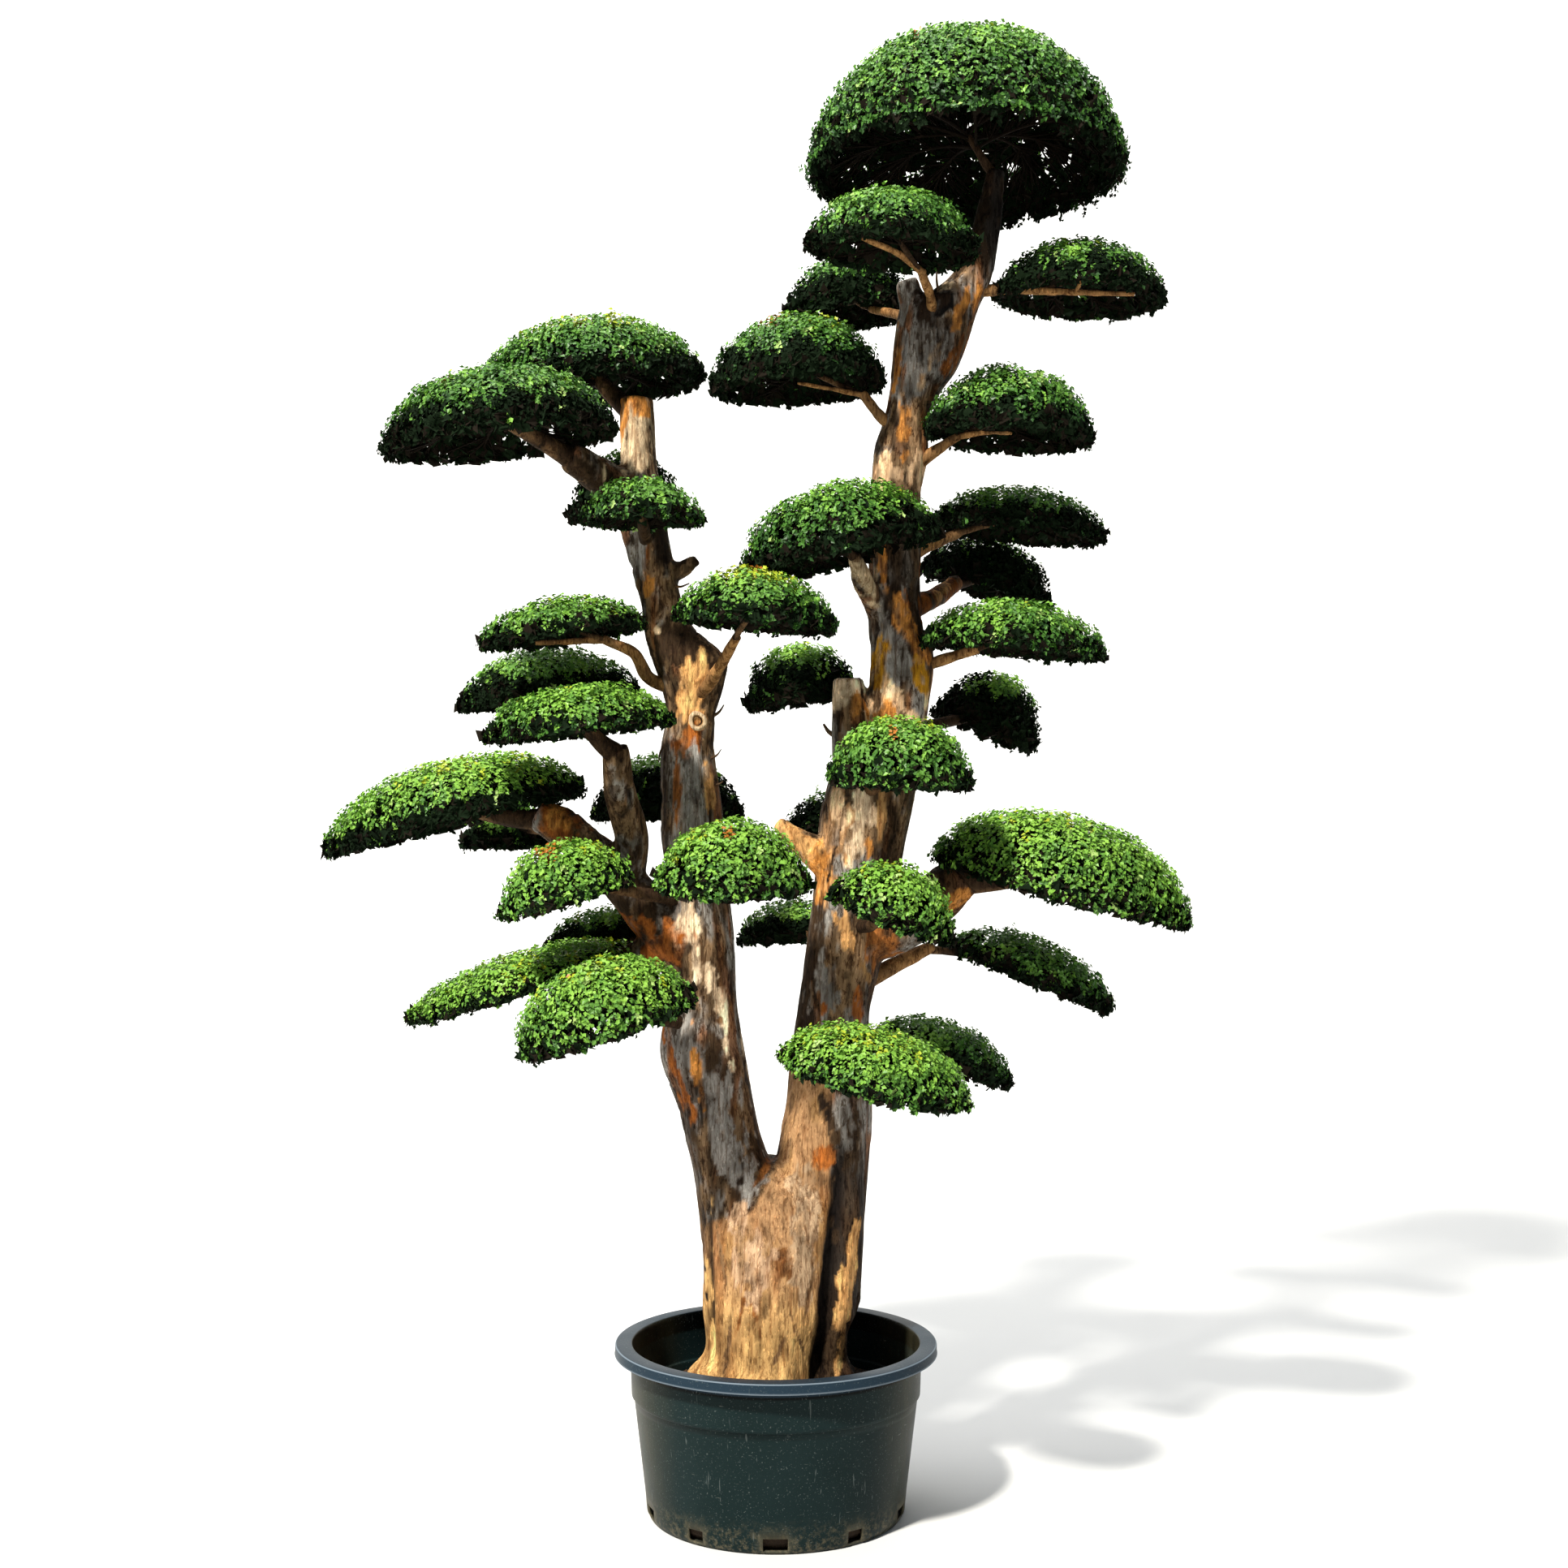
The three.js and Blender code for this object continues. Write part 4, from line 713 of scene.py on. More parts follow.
old_wood = [upright_wood(TRUNK_BODY), upright_wood(LEFT_WOOD), upright_wood(RIGHT_WOOD)]
old_wood += [limb_wood(*stub) for stub in STUBS] + [limb_wood(*BOUGHS[name]) for name in STOUT]
wood_points, wood_faces, wood_normals = fused(old_wood, WOOD_PITCH)
depth, crack, pit = bark_relief(wood_points)
wood_tints, wood_bare = bark_colours(wood_points, wood_normals, crack, pit)
near_cut = ease_step(0.0, 12 * MM, wood_points[:, 2] - MIX_LEVEL)
wood_points += wood_normals * (depth * (1 - 0.35 * wood_bare) * (0.3 + 0.7 * near_cut))[:, None]
wood_points[:, 2] = np.maximum(wood_points[:, 2], MIX_LEVEL + 0.4 * MM)
old_elm_wood = new_piece("old_elm_wood", wood_points, wood_faces)
point_attribute(old_elm_wood, "bark_tint", wood_tints)
point_attribute(old_elm_wood, "bare_wood", wood_bare)
old_elm_wood.data.materials.append(bark.material)
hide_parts("trunk", "left_stem", "right_stem", *STOUT)
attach(old_elm_wood, "root")

# The callus ring
# Where a limb was sawn off the left stem years ago, the bark has rolled over the cut from all sides and
# left a pale ring round a dark hole.
RING_AT = (-144 * MM, 1467 * MM)
RING_OUTER = 16 * MM
RING_HOLE = 8.5 * MM
RING_RISE = 6 * MM
RING_SIDES = 40
near_ring = np.hypot(wood_points[:, 0] - RING_AT[0], wood_points[:, 2] - RING_AT[1]) < RING_OUTER
ring_face = wood_points[near_ring, 1].min() + 2 * MM
# From the back of the ring to the bottom of its hole: radius, height toward -Y, and colour.
RING_PROFILE = [
    (RING_OUTER, -9 * MM, LIGHT_ORANGE), (1.06 * RING_OUTER, 0, LIGHT_ORANGE),
    (RING_OUTER, 0.7 * RING_RISE, CREAM), (0.86 * RING_OUTER, RING_RISE, CREAM),
    (1.25 * RING_HOLE, RING_RISE, CREAM), (RING_HOLE, 0.7 * RING_RISE, TAN), (0.9 * RING_HOLE, 0, DARK),
    (0.7 * RING_HOLE, -3 * MM, DARK), (0.3 * RING_HOLE, -4 * MM, BROWN),
]
ring_radii, ring_heights, ring_colours = zip(*RING_PROFILE)
ring_angle = 2 * np.pi * np.arange(RING_SIDES) / RING_SIDES
lopsided = 1 + 0.07 * np.cos(2 * ring_angle + 0.9) + 0.04 * np.cos(3 * ring_angle)
ring_radius = np.array(ring_radii)[:, None] * lopsided
ring_points, ring_faces = skins(np.stack([
    RING_AT[0] + ring_radius * np.cos(ring_angle),
    ring_face - np.array(ring_heights)[:, None] + 0 * ring_radius,
    RING_AT[1] + 1.15 * ring_radius * np.sin(ring_angle),
], axis=-1)[None])
callus_ring = new_piece("callus_ring", ring_points, ring_faces)
ring_tints = np.concatenate([np.repeat(ring_colours, RING_SIDES, axis=0), [LIGHT_ORANGE, BROWN]])
ring_tints *= (1 + 0.2 * layered_noise(ring_points * 90, 2, 77))[:, None]
point_attribute(callus_ring, "bark_tint", ring_tints)
point_attribute(callus_ring, "bare_wood", np.ones(len(ring_points)))
callus_ring.data.materials.append(bark.material)
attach(callus_ring, "root")

# The thin boughs
# Young limbs that were kept when the stems were cut back. Their bark is still thin, smooth and tan, and
# each one tapers to the pad that it carries.
thin_names = [name for name in BOUGHS if name not in STOUT]
THIN_SIDES = 12
THIN_STEPS = 30


def piece_of_limbs(name, shells, tint, relief):
    """Joins limbs into one piece with a shallow relief and a tint that changes along them."""
    points, faces = joined(shells)
    piece = new_piece(name, points, faces)
    mottle = layered_noise(points * 45, 3, 71)
    colours = tint * (1 + 0.4 * mottle)[:, None]
    stain(colours, BROWN, 0.7 * ease_step(0.15, 0.6, layered_noise(points * 22, 2, 73)))
    normals = np.empty(len(points) * 3, dtype=np.float32)
    piece.data.vertex_normals.foreach_get("vector", normals)
    points = points + relief * mottle[:, None] * normals.reshape(-1, 3)
    piece.data.vertices.foreach_set("co", points.astype(np.float32).ravel())
    piece.data.update()
    point_attribute(piece, "bark_tint", np.clip(colours, 0.004, 0.9))
    point_attribute(piece, "bare_wood", np.full(len(points), 0.4))
    piece.data.materials.append(bark.material)
    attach(piece, "root")
    return piece


# Their forks that run on under a pad, from the end of a limb.
FORKS = [
    ([(490, 16, 2275), (580, 4, 2268), (667, -10, 2262)], (7.5, 4)),
    ([(560, 6, 2270), (574, -20, 2300)], (4, 2)),
    ([(268, -100, 2278), (214, -156, 2300), (150, -205, 2312)], (7.5, 4)),
    ([(-312, -46, 1617), (-380, -60, 1612), (-440, -70, 1608)], (7, 4)),
    ([(330, -36, 1990), (372, -60, 1994), (430, -84, 1990)], (6, 3)),
    ([(165, -8, 2074), (100, -30, 2082), (40, -60, 2086)], (5, 2.5)),
]
thin_shells = [limb_wood(*BOUGHS[name], THIN_SIDES, THIN_STEPS) for name in thin_names]
thin_shells += [limb_wood(*fork, THIN_SIDES, THIN_STEPS) for fork in FORKS]
thin_boughs = piece_of_limbs("thin_boughs", thin_shells, (0.32, 0.165, 0.06), 1.2 * MM)
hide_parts(*thin_names)

# The dead twigs
# Short dry ends of twigs that died in the shade and broke off close to the bark.
DEAD_TWIGS = [
    ([(-122, -14, 1474), (-106, -20, 1484), (-96, -22, 1498)], (4, 1.2)),
    ([(-128, -16, 1396), (-110, -22, 1404), (-101, -24, 1416)], (3.6, 1)),
    ([(-126, -10, 1352), (-109, -14, 1350), (-98, -16, 1356)], (3.4, 1)),
    ([(-206, -20, 1426), (-214, -26, 1410), (-217, -27, 1392)], (3, 1)),
    ([(124, -24, 1436), (100, -28, 1446), (88, -30, 1462)], (7, 2)),
    ([(214, -26, 1236), (222, -30, 1248), (226, -32, 1262)], (3, 1)),
    ([(-196, -20, 1722), (-178, -26, 1716), (-160, -30, 1722)], (3.4, 1.2)),
    ([(300, -30, 2260), (296, -44, 2286), (300, -52, 2312)], (3, 1)),
]
dead_shells = [limb_wood(*twig, 7, 8) for twig in DEAD_TWIGS]
piece_of_limbs("dead_twigs", dead_shells, (0.13, 0.08, 0.045), 0.3 * MM)

# The pads of foliage
# Each pad is a clipped dome, hollow underneath: one stem enters it and forks into ribs, the ribs into
# branchlets, and those into short sprays whose small leaves close the outside where the shears pass.
SEED = 600
GOLDEN_ANGLE = np.pi * (3 - np.sqrt(5))
DOME_POWER = 2.2
LEAVES_IN_ALL = 300000
LEAVES_ON_SPRAY = 10
SHADE_LEAVES_ON_SPRAY = 4
SPRAYS_ON_BRANCHLET = 8
SHELL_DEPTH = 62 * MM
LEAF_LENGTH = 9.6 * MM
SHADE_LEAF_LENGTH = 24 * MM
SPRAY_LEAFY = 30 * MM
SHADE_LEAFY = 39 * MM
SPRAY_TWIG_RADIUS = 0.9 * MM
FRINGE_SHARE = 0.9
FRINGE_DROP = 3 * MM
RIM_TRIM = 9 * MM
FRONT_TRIM = -396 * MM
SHADE_TRIM = 2 * MM
HUB_HEIGHT = 0.36
STEM_ROOT_RADIUS = 15 * MM
SIDE_ROOT_RADIUS = 12 * MM
RIB_REACH = (0.78, 0.9)
RIB_RADIUS = (2.4 * MM, 6.5 * MM)
BRANCHLET_RADIUS = (1.1 * MM, 2 * MM)
SET_BACK = 12 * MM
CLUMP_RISE = 4 * MM
TUFT_RISE = 2.5 * MM
STRAY_SHARE = 0.006
STRAY_RISE = (6 * MM, 13 * MM)

# Each pad: middle and size in mm, slope to the right and nod to the front in degrees, and what carries it:
# the tip or the side of a limb, or a height on its stem. Then how far up from the rim painted shade darkens
# its leaves, how much painted shade from other pads darkens them all, and how much of its top yellowed.
PADS = [
    ("pad_left_01", (-354, 95, 2096), (448, 317, 149), -6, 0, "left_wood", 0.3, 0, 0.45),
    ("pad_left_02", (-493, -150, 1951), (427, 307, 149), -6, 0, "bough_left_top", 0.42, 0, 0.04),
    ("pad_left_03", (-289, 170, 1861), (225, 191, 143), 0, 0, 1850, 0.9, 0, 0.04),
    ("pad_left_04", (-238, -150, 1814), (221, 188, 88), 0, 0, 1795, 0.05, 0, 0.04),
    ("pad_left_05", (-34, -235, 1619), (293, 205, 107), 5, 0, "bough_left_prop", 0.05, 0, 0.75),
    ("pad_left_06", (-389, -60, 1614), (317, 238, 83), -8, 0, "bough_left_cranked", 0.25, 0, 0.04),
    ("pad_left_07", (-440, 170, 1504), (353, 265, 119), -4, 0, 1480, 0.5, 0, 0.04),
    ("pad_left_08", (-351, -150, 1435), (349, 244, 95), -6, 0, "bough_left_upright", 0.05, 0, 0.04),
    ("pad_left_09", (-593, 0, 1270), (500, 310, 132), -14, 0, "bough_left_low", 0.3, 0, 0.04),
    ("pad_left_10", (-528, 245, 1224), (193, 164, 100), 0, 0, "side of bough_left_low", 0.55, 0, 0.04),
    ("pad_left_11", (-217, 250, 1281), (306, 245, 132), 0, 0, 1262, 0.85, 0, 0.04),
    ("pad_left_12", (-369, -160, 1138), (250, 200, 114), -16, 5, 1128, 0.05, 0, 0.3),
    ("pad_left_13", (-75, -260, 1161), (276, 234, 128), 0, 8, 1140, 0.05, 0, 0.04),
    ("pad_left_14", (-346, 195, 1037), (228, 194, 76), -12, 0, 1035, 0.7, 0.3, 0.04),
    ("pad_left_15", (-472, 15, 963), (459, 266, 77), -17, 2, "bough_left_lower", 0.2, 0, 0.04),
    ("pad_left_16", (-291, -230, 913), (333, 240, 134), -18, 6, 900, 0.05, 0, 0.3),
    ("pad_right_01", (358, 30, 2479), (606, 576, 283), 0, -5, "right_wood", 0.05, 0, 0.04),
    ("pad_right_02", (207, -190, 2283), (308, 261, 122), 3, 0, "bough_right_hook", 0.22, 0, 0.04),
    ("pad_right_03", (147, 190, 2263), (259, 233, 123), -4, 0, "bough_right_back", 0.55, 0, 0.04),
    ("pad_right_04", (567, 20, 2251), (324, 292, 119), 3, 0, "bough_right_long", 0.5, 0, 0.04),
    ("pad_right_05", (42, -10, 2078), (326, 293, 146), -2, 0, "bough_right_short", 0.45, 0, 0.5),
    ("pad_right_06", (428, -60, 1977), (314, 267, 140), 4, 0, "bough_right_strut", 0.35, 0, 0.04),
    ("pad_right_07", (123, -125, 1747), (385, 246, 148), -14, 0, "bough_right_pale", 0.4, 0, 0.04),
    ("pad_right_08", (465, 130, 1830), (341, 256, 97), 6, 0, "bough_right_wing", 0.5, 0, 0.04),
    ("pad_right_09", (413, 290, 1737), (272, 231, 119), 18, 0, "bough_right_rear", 0.85, 0, 0.04),
    ("pad_right_10", (435, -60, 1588), (345, 242, 103), 5, 0, "bough_right_shelf", 0.05, 0, 0.04),
    ("pad_right_11", (51, 120, 1504), (224, 190, 124), -8, 0, 1490, 0.62, 0, 0.04),
    ("pad_right_12", (402, 190, 1448), (218, 185, 133), 22, 0, 1440, 0.85, 0, 0.04),
    ("pad_right_13", (217, -235, 1342), (257, 218, 127), 2, 5, 1330, 0.05, 0, 0.04),
    ("pad_right_14", (522, -40, 1141), (502, 311, 157), 15, 4, "bough_right_low", 0.05, 0, 0.04),
    ("pad_right_15", (195, -240, 1105), (229, 160, 111), 22, 6, 1090, 0.05, 0, 0.04),
    ("pad_right_16", (482, 130, 970), (350, 245, 93), 22, 0, "bough_right_lower", 0.3, 0.55, 0.04),
    ("pad_right_17", (321, 230, 797), (295, 221, 95), 20, 0, 800, 0.45, 0.65, 0.04),
    ("pad_right_18", (169, -260, 825), (356, 256, 104), 14, 8, 810, 0.05, 0, 0.04),
    ("pad_right_19", (113, 270, 1236), (208, 167, 108), 0, 0, 1230, 0.85, 0.3, 0.04),
    ("pad_right_20", (39, 250, 1044), (224, 180, 85), -5, 0, 1040, 0.6, 0.3, 0.04),
]
# Spots of russet young leaves: pad, share of the way out, angle round it in degrees, and radius in mm.
RUSSET_SPOTS = [
    ("pad_left_01", 0.15, 260, 14), ("pad_left_02", 0.5, 225, 13), ("pad_left_05", 0.2, 250, 9),
    ("pad_left_12", 0.3, 255, 24), ("pad_left_13", 0.35, 262, 16), ("pad_left_16", 0.35, 240, 12),
    ("pad_right_01", 0.6, 238, 13), ("pad_right_05", 0.35, 215, 16), ("pad_right_13", 0.55, 253, 15),
]

LEAF_COLOURS = {
    "leaf_yellow_green": (0.39, 0.47, 0.03),
    "leaf_light_green": (0.265, 0.5, 0.068),
    "leaf_fresh_green": (0.19, 0.4, 0.05),
    "leaf_mid_green": (0.11, 0.265, 0.038),
    "leaf_deep_green": (0.052, 0.155, 0.02),
    # Painted shade: the darkest green goes to sprays deepest in painted shade, and the two near-black shade
    # colours below go to the leaves inside.
    "leaf_darkest_green": (0.02, 0.065, 0.012),
    "leaf_pale_underside": (0.34, 0.5, 0.14),
    "leaf_shade_green": (0.005, 0.012, 0.004),
    "leaf_shade_brown": (0.011, 0.008, 0.005),
    "leaf_russet": (0.42, 0.15, 0.02),
}
LEAF_NAMES = list(LEAF_COLOURS)
# An elm leaf is lopsided: base, near side, tip and far side, each as across, along and lift.
LEAF_OUTLINE = [(0, 0, 0), (0.36, 0.36, 0.1), (0, 1, -0.08), (-0.38, 0.5, 0.1)]


def pad_axes(at, size, slope, nod):
    """A pad's middle, its unit axes along, across and up, its two half sizes and its dome, in metres."""
    slope, nod = np.radians(slope), np.radians(nod)
    along = np.array((np.cos(slope), 0, -np.sin(slope)))
    across = np.array((0, np.cos(nod), np.sin(nod)))
    across = unit(across - (across @ along) * along)
    return np.array(at) * MM, along, across, np.cross(along, across), np.array(size) * (0.5, 0.5, 1) * MM


def pad_point(axes, share, angle, height):
    """A point at a share of the way out, an angle round, and a height over the rim plane."""
    middle, along, across, up, half = axes
    plan = (half[0] * share * np.cos(angle))[:, None] * along
    plan += (half[1] * share * np.sin(angle))[:, None] * across
    return middle + plan + np.asarray(height)[:, None] * up


def dome_height(axes, share):
    """The clipped outline: dome times the square root of 1 minus share to the power 2.2."""
    return axes[4][2] * np.sqrt(np.clip(1 - share ** DOME_POWER, 0, None))


def inner_height(axes, share):
    """The hollow belly of a pad, a shell's depth under the clipped outline."""
    return np.maximum(dome_height(axes, share) - SHELL_DEPTH, 0.1 * axes[4][2])


def pad_root(name, root):
    """Where the pad's own stem starts, and how thick: on a stem at a height, or in the tip of a limb."""
    wood = {"left": np.array(LEFT_WOOD, dtype=float), "right": np.array(RIGHT_WOOD, dtype=float)}
    if isinstance(root, int):
        stations = wood[name.split("_")[1]]
        middle = [np.interp(root, stations[:, 0], stations[:, column]) for column in (1, 2)]
        return np.array((*middle, root)) * MM, STEM_ROOT_RADIUS
    if root.endswith("_wood"):
        height, x, y, across, _ = wood[root.split("_")[0]][-1]
        return np.array((x, y, height - across)) * MM, 0.7 * across * MM
    through, ends = BOUGHS[root.split()[-1]]
    path = smooth_path(through, 101) * MM
    if root.startswith("side"):
        return path[70], SIDE_ROOT_RADIUS
    return path[94], 0.75 * ends[1] * MM


def bowed(starts, ends, bows, steps):
    """Curves from starts to ends with their middles pushed out: (1-t)^2 a + 2t(1-t) c + t^2 b."""
    share = np.linspace(0, 1, steps)[None, :, None]
    control = ((starts + ends) / 2 + bows)[:, None]
    return (1 - share) ** 2 * starts[:, None] + 2 * share * (1 - share) * control + share ** 2 * ends[:, None]


def pad_growth(name, at, size, slope, nod, root, sprays, seed):
    """Stem, ribs, branchlets and sprays of one pad. Branchlets and sprays turn by the golden angle."""
    axes = pad_axes(at, size, slope, nod)
    up, half = axes[3], axes[4]
    random = np.random.default_rng(seed)
    base, thick = pad_root(name, root)
    hub = pad_point(axes, np.zeros(1), np.zeros(1), [HUB_HEIGHT * half[2]])[0]
    bow = (random.normal(0, 0.05, 3) - 0.03 * up) * np.linalg.norm(hub - base)
    stem = bowed(base[None], hub[None], bow[None], 14)
    stem_radii = np.linspace(thick, max(4.5 * MM, 0.5 * thick), 14)[None]

    rib_count = int(np.clip(round(40 * half[:2].mean()), 6, 14))
    rib_angle = np.arange(rib_count) * 2 * np.pi / rib_count + random.uniform(-0.25, 0.25, rib_count)
    rib_start = stem[0][np.round(random.uniform(0.66, 0.98, rib_count) * 13).astype(int)]
    rib_share = random.uniform(*RIB_REACH, rib_count)
    rib_end = pad_point(axes, rib_share, rib_angle, inner_height(axes, rib_share))
    ribs = bowed(rib_start, rib_end, random.normal(0, 4 * MM, (rib_count, 3)) + 0.16 * half[2] * up, 10)
    rib_size = np.clip(thick * 0.42, *RIB_RADIUS) * random.uniform(0.7, 1.15, rib_count)
    rib_radii = rib_size[:, None] * np.linspace(1, 0.4, 10)

    node_count = max(12, sprays // SPRAYS_ON_BRANCHLET)
    order = (np.arange(node_count) + 0.5) / node_count
    bulge = 1 + min(1, half[2] / half[:2].mean())
    node_share = 0.93 * np.sqrt(1 - (1 - order) ** bulge)
    node_angle = np.arange(node_count) * GOLDEN_ANGLE + random.uniform(0, 2 * np.pi)
    nodes = pad_point(axes, node_share, node_angle, inner_height(axes, node_share))
    nodes += random.normal(0, 5 * MM, nodes.shape)
    turn = np.abs((node_angle[:, None] - rib_angle + np.pi) % (2 * np.pi) - np.pi)
    along_rib = np.clip(node_share / 0.9 * 8 - 1, 1, 8).astype(int)
    branch_start = ribs[turn.argmin(axis=1), along_rib]
    branchlets = bowed(branch_start, nodes, random.normal(0, 5 * MM, nodes.shape), 4)
    branch_radii = random.uniform(*BRANCHLET_RADIUS, node_count)[:, None] * np.linspace(1.3, 0.7, 4)

    order = (np.arange(sprays) + 0.5) / sprays
    fringe = order > FRINGE_SHARE
    share = np.sqrt(1 - (1 - np.minimum(order / FRINGE_SHARE, 1)) ** bulge)
    share *= random.uniform(0.985, 1.01, sprays)
    share = np.where(fringe, random.uniform(0.9, 1.0, sprays), np.minimum(share, 0.995))
    drop = random.uniform(-FRINGE_DROP, 0.25 * half[2], sprays)
    angle = np.arange(sprays) * GOLDEN_ANGLE
    tips = pad_point(axes, share, angle, np.where(fringe, drop, dome_height(axes, share)))
    slope_out = share ** (DOME_POWER - 1) / np.maximum(np.sqrt(np.clip(1 - share ** DOME_POWER, 0, 1)), 0.12)
    level = pad_point(axes, np.ones(sprays), angle, np.zeros(sprays)) - axes[0]
    reach = np.linalg.norm(level, axis=1)
    outward = level / reach[:, None]
    normal = unit(outward * (1.1 * half[2] * slope_out / reach)[:, None] + up)
    normal = np.where(fringe[:, None], unit(outward - 0.35 * up), normal)
    relief = CLUMP_RISE * lattice_noise(tips * 17, seed) + TUFT_RISE * lattice_noise(tips * 46, seed + 1)
    relief -= SET_BACK * random.uniform(0, 1, sprays) ** 1.6
    stray = random.uniform(0, 1, sprays) > 1 - STRAY_SHARE
    relief += stray * random.uniform(*STRAY_RISE, sprays)
    tips += normal * relief[:, None]
    nearest = np.linalg.norm(tips[:, None] - nodes[None], axis=2).argmin(axis=1)
    return {
        "axes": axes, "random": random, "share": share, "fringe": fringe, "tips": tips, "normals": normal,
        "bases": nodes[nearest], "stem": (stem, stem_radii), "ribs": (ribs, rib_radii),
        "branchlets": (branchlets, branch_radii),
    }


def folded_leaves(roots, directions, facings, lengths):
    """Leaves folded on the midrib, as (n, 4, 3) corners: root + length (a width + b direction + c facing)."""
    width = np.cross(directions, facings)
    corners = [roots + lengths * (across * width + along * directions + lift * facings)
               for across, along, lift in LEAF_OUTLINE]
    return np.stack(corners, axis=-2).reshape(-1, 4, 3)


def spread_leaves(growth, each, reach, rise, jitter, length):
    """Leaves either side of each spray in turn, up to a reach behind its tip and nearly along the dome."""
    random, tips, normals = growth["random"], growth["tips"], growth["normals"][:, None]
    count = len(tips)
    axis = unit(tips - growth["bases"])
    back = reach * (np.arange(each) / each)[None] * random.uniform(0.7, 1.2, (count, each))
    back = np.minimum(back, np.linalg.norm(tips - growth["bases"], axis=1)[:, None])
    roots = tips[:, None] - back[..., None] * axis[:, None]
    flat_one = unit(np.cross(normals, random.normal(0, 1, (count, 1, 3))))
    flat_two = np.cross(normals, flat_one)
    turn = np.pi * np.arange(each)[None] + random.uniform(-1.1, 1.1, (count, each))
    sideways = np.cos(turn)[..., None] * flat_one + np.sin(turn)[..., None] * flat_two
    lift = random.uniform(*rise, (count, each))[..., None]
    direction = unit(np.cos(lift) * sideways + np.sin(lift) * normals - (0, 0, 0.2))
    facing = normals + random.normal(0, jitter, direction.shape)
    facing = unit(facing - (facing * direction).sum(axis=-1, keepdims=True) * direction)
    size = length * random.uniform(0.78, 1.2, (count, each, 1))
    return folded_leaves(roots, direction, facing, size)


def spray_colours(name, growth):
    """Leaf colour of each spray: yellower low down and on top, deeper on the crown, painted light and shade
    by slope.
    """
    random, tips, normals, axes = (growth[key] for key in ("random", "tips", "normals", "axes"))
    dark_skirt, deeper, yellow_top = growth["shades"]
    level = axes[0][2]
    # Painted light and shade: the tops of a dome score lighter and its steep sides deeper, more so on pads
    # above 1.2 m, and a pad's deeper share lowers all its sprays as painted shade.
    steepness = np.interp(level, [1.2, 1.5], [0.85, 1.1]) * (1 - normals[:, 2])
    score = 0.85 - steepness + 0.3 * lattice_noise(tips * 13, 91) + random.normal(0, 0.26, len(tips))
    score += np.interp(level, [0.9, 1.25, 1.6, 1.95, 2.45], [0.48, 0.42, 0.05, -0.25, -0.1]) - deeper
    colour = np.digitize(-score, [-1.62, -1.12, -0.68, -0.24, 0.2])
    colour[random.uniform(0, 1, len(tips)) > 0.98] = LEAF_NAMES.index("leaf_pale_underside")
    yellowed = (normals[:, 2] > 0.86) & (random.uniform(0, 1, len(tips)) < yellow_top)
    colour[yellowed & (lattice_noise(tips * 10, 93) > -0.25)] = 0
    # Painted shade: sprays low on the dome, more so on its front, and fringe sprays tucked under the rim take
    # the near-black shade green.
    over_rim = (tips - axes[0]) @ axes[3] / axes[4][2]
    skirt = dark_skirt * np.interp(normals[:, 1], [-0.2, 0.6], [1, 0.4])
    in_painted_shade = over_rim < skirt * (1 + 0.5 * lattice_noise(tips * 22, 95))
    in_painted_shade &= random.uniform(0, 1, len(tips)) > 0.08
    colour[in_painted_shade | (growth["fringe"] & (growth["share"] < 0.96))] = LEAF_NAMES.index("leaf_shade_green")
    for pad, out, angle, radius in RUSSET_SPOTS:
        if pad == name:
            share = np.array([out])
            spot = pad_point(axes, share, np.radians([angle]), dome_height(axes, share))
            ragged = radius * MM * random.uniform(0.6, 1.3, len(tips))
            near = np.linalg.norm(tips - spot, axis=1) < ragged
            russet = random.uniform(0, 1, near.sum()) > 0.25
            colour[near] = np.where(russet, LEAF_NAMES.index("leaf_russet"), 0)
    return colour


def pad_leaves(name, growth):
    """One pad's leaves and colours: small ones outside, larger dark ones in their shade, cut level below."""
    outer = spread_leaves(growth, LEAVES_ON_SPRAY, SPRAY_LEAFY, (0.0, 0.65), 0.5, LEAF_LENGTH)
    inner = dict(growth, tips=growth["bases"] + 0.5 * (growth["tips"] - growth["bases"]))
    shade = spread_leaves(inner, SHADE_LEAVES_ON_SPRAY, SHADE_LEAFY, (-0.6, 0.4), 0.8, SHADE_LEAF_LENGTH)
    # Painted shade: the larger inner leaves take the near-black shade colours.
    browned = growth["random"].uniform(0, 1, len(growth["tips"])) > 0.6
    shade_colours = LEAF_NAMES.index("leaf_shade_green") + browned.astype(int)
    colours = [np.repeat(spray_colours(name, growth), LEAVES_ON_SPRAY)]
    colours = np.concatenate([*colours, np.repeat(shade_colours, SHADE_LEAVES_ON_SPRAY)])
    leaves = np.concatenate([outer, shade])
    over_rim = ((leaves - growth["axes"][0]) @ growth["axes"][3]).min(axis=1)
    kept = over_rim > np.repeat((-RIM_TRIM, -SHADE_TRIM), (len(outer), len(shade)))
    kept &= leaves[:, :, 1].min(axis=1) > FRONT_TRIM
    return leaves[kept], colours[kept]


def spikes(starts, ends, radius):
    """Closed three-sided spikes: radius (cos a, sin a) square to each axis at its start, and a sharp end."""
    axis = unit(ends - starts)
    right = unit(np.cross(axis, (0.31, 0.87, 0.39)))
    over = np.cross(axis, right)
    angle = (2 * np.pi * np.arange(3) / 3)[:, None]
    ring = starts[:, None] + radius * (np.cos(angle) * right[:, None] + np.sin(angle) * over[:, None])
    points = np.concatenate([ring, ends[:, None]], axis=1).reshape(-1, 3)
    sides = np.array([(0, 1, 3), (1, 2, 3), (2, 0, 3), (0, 2, 1)])
    return points, (sides + 4 * np.arange(len(starts))[:, None, None]).reshape(-1, 3)


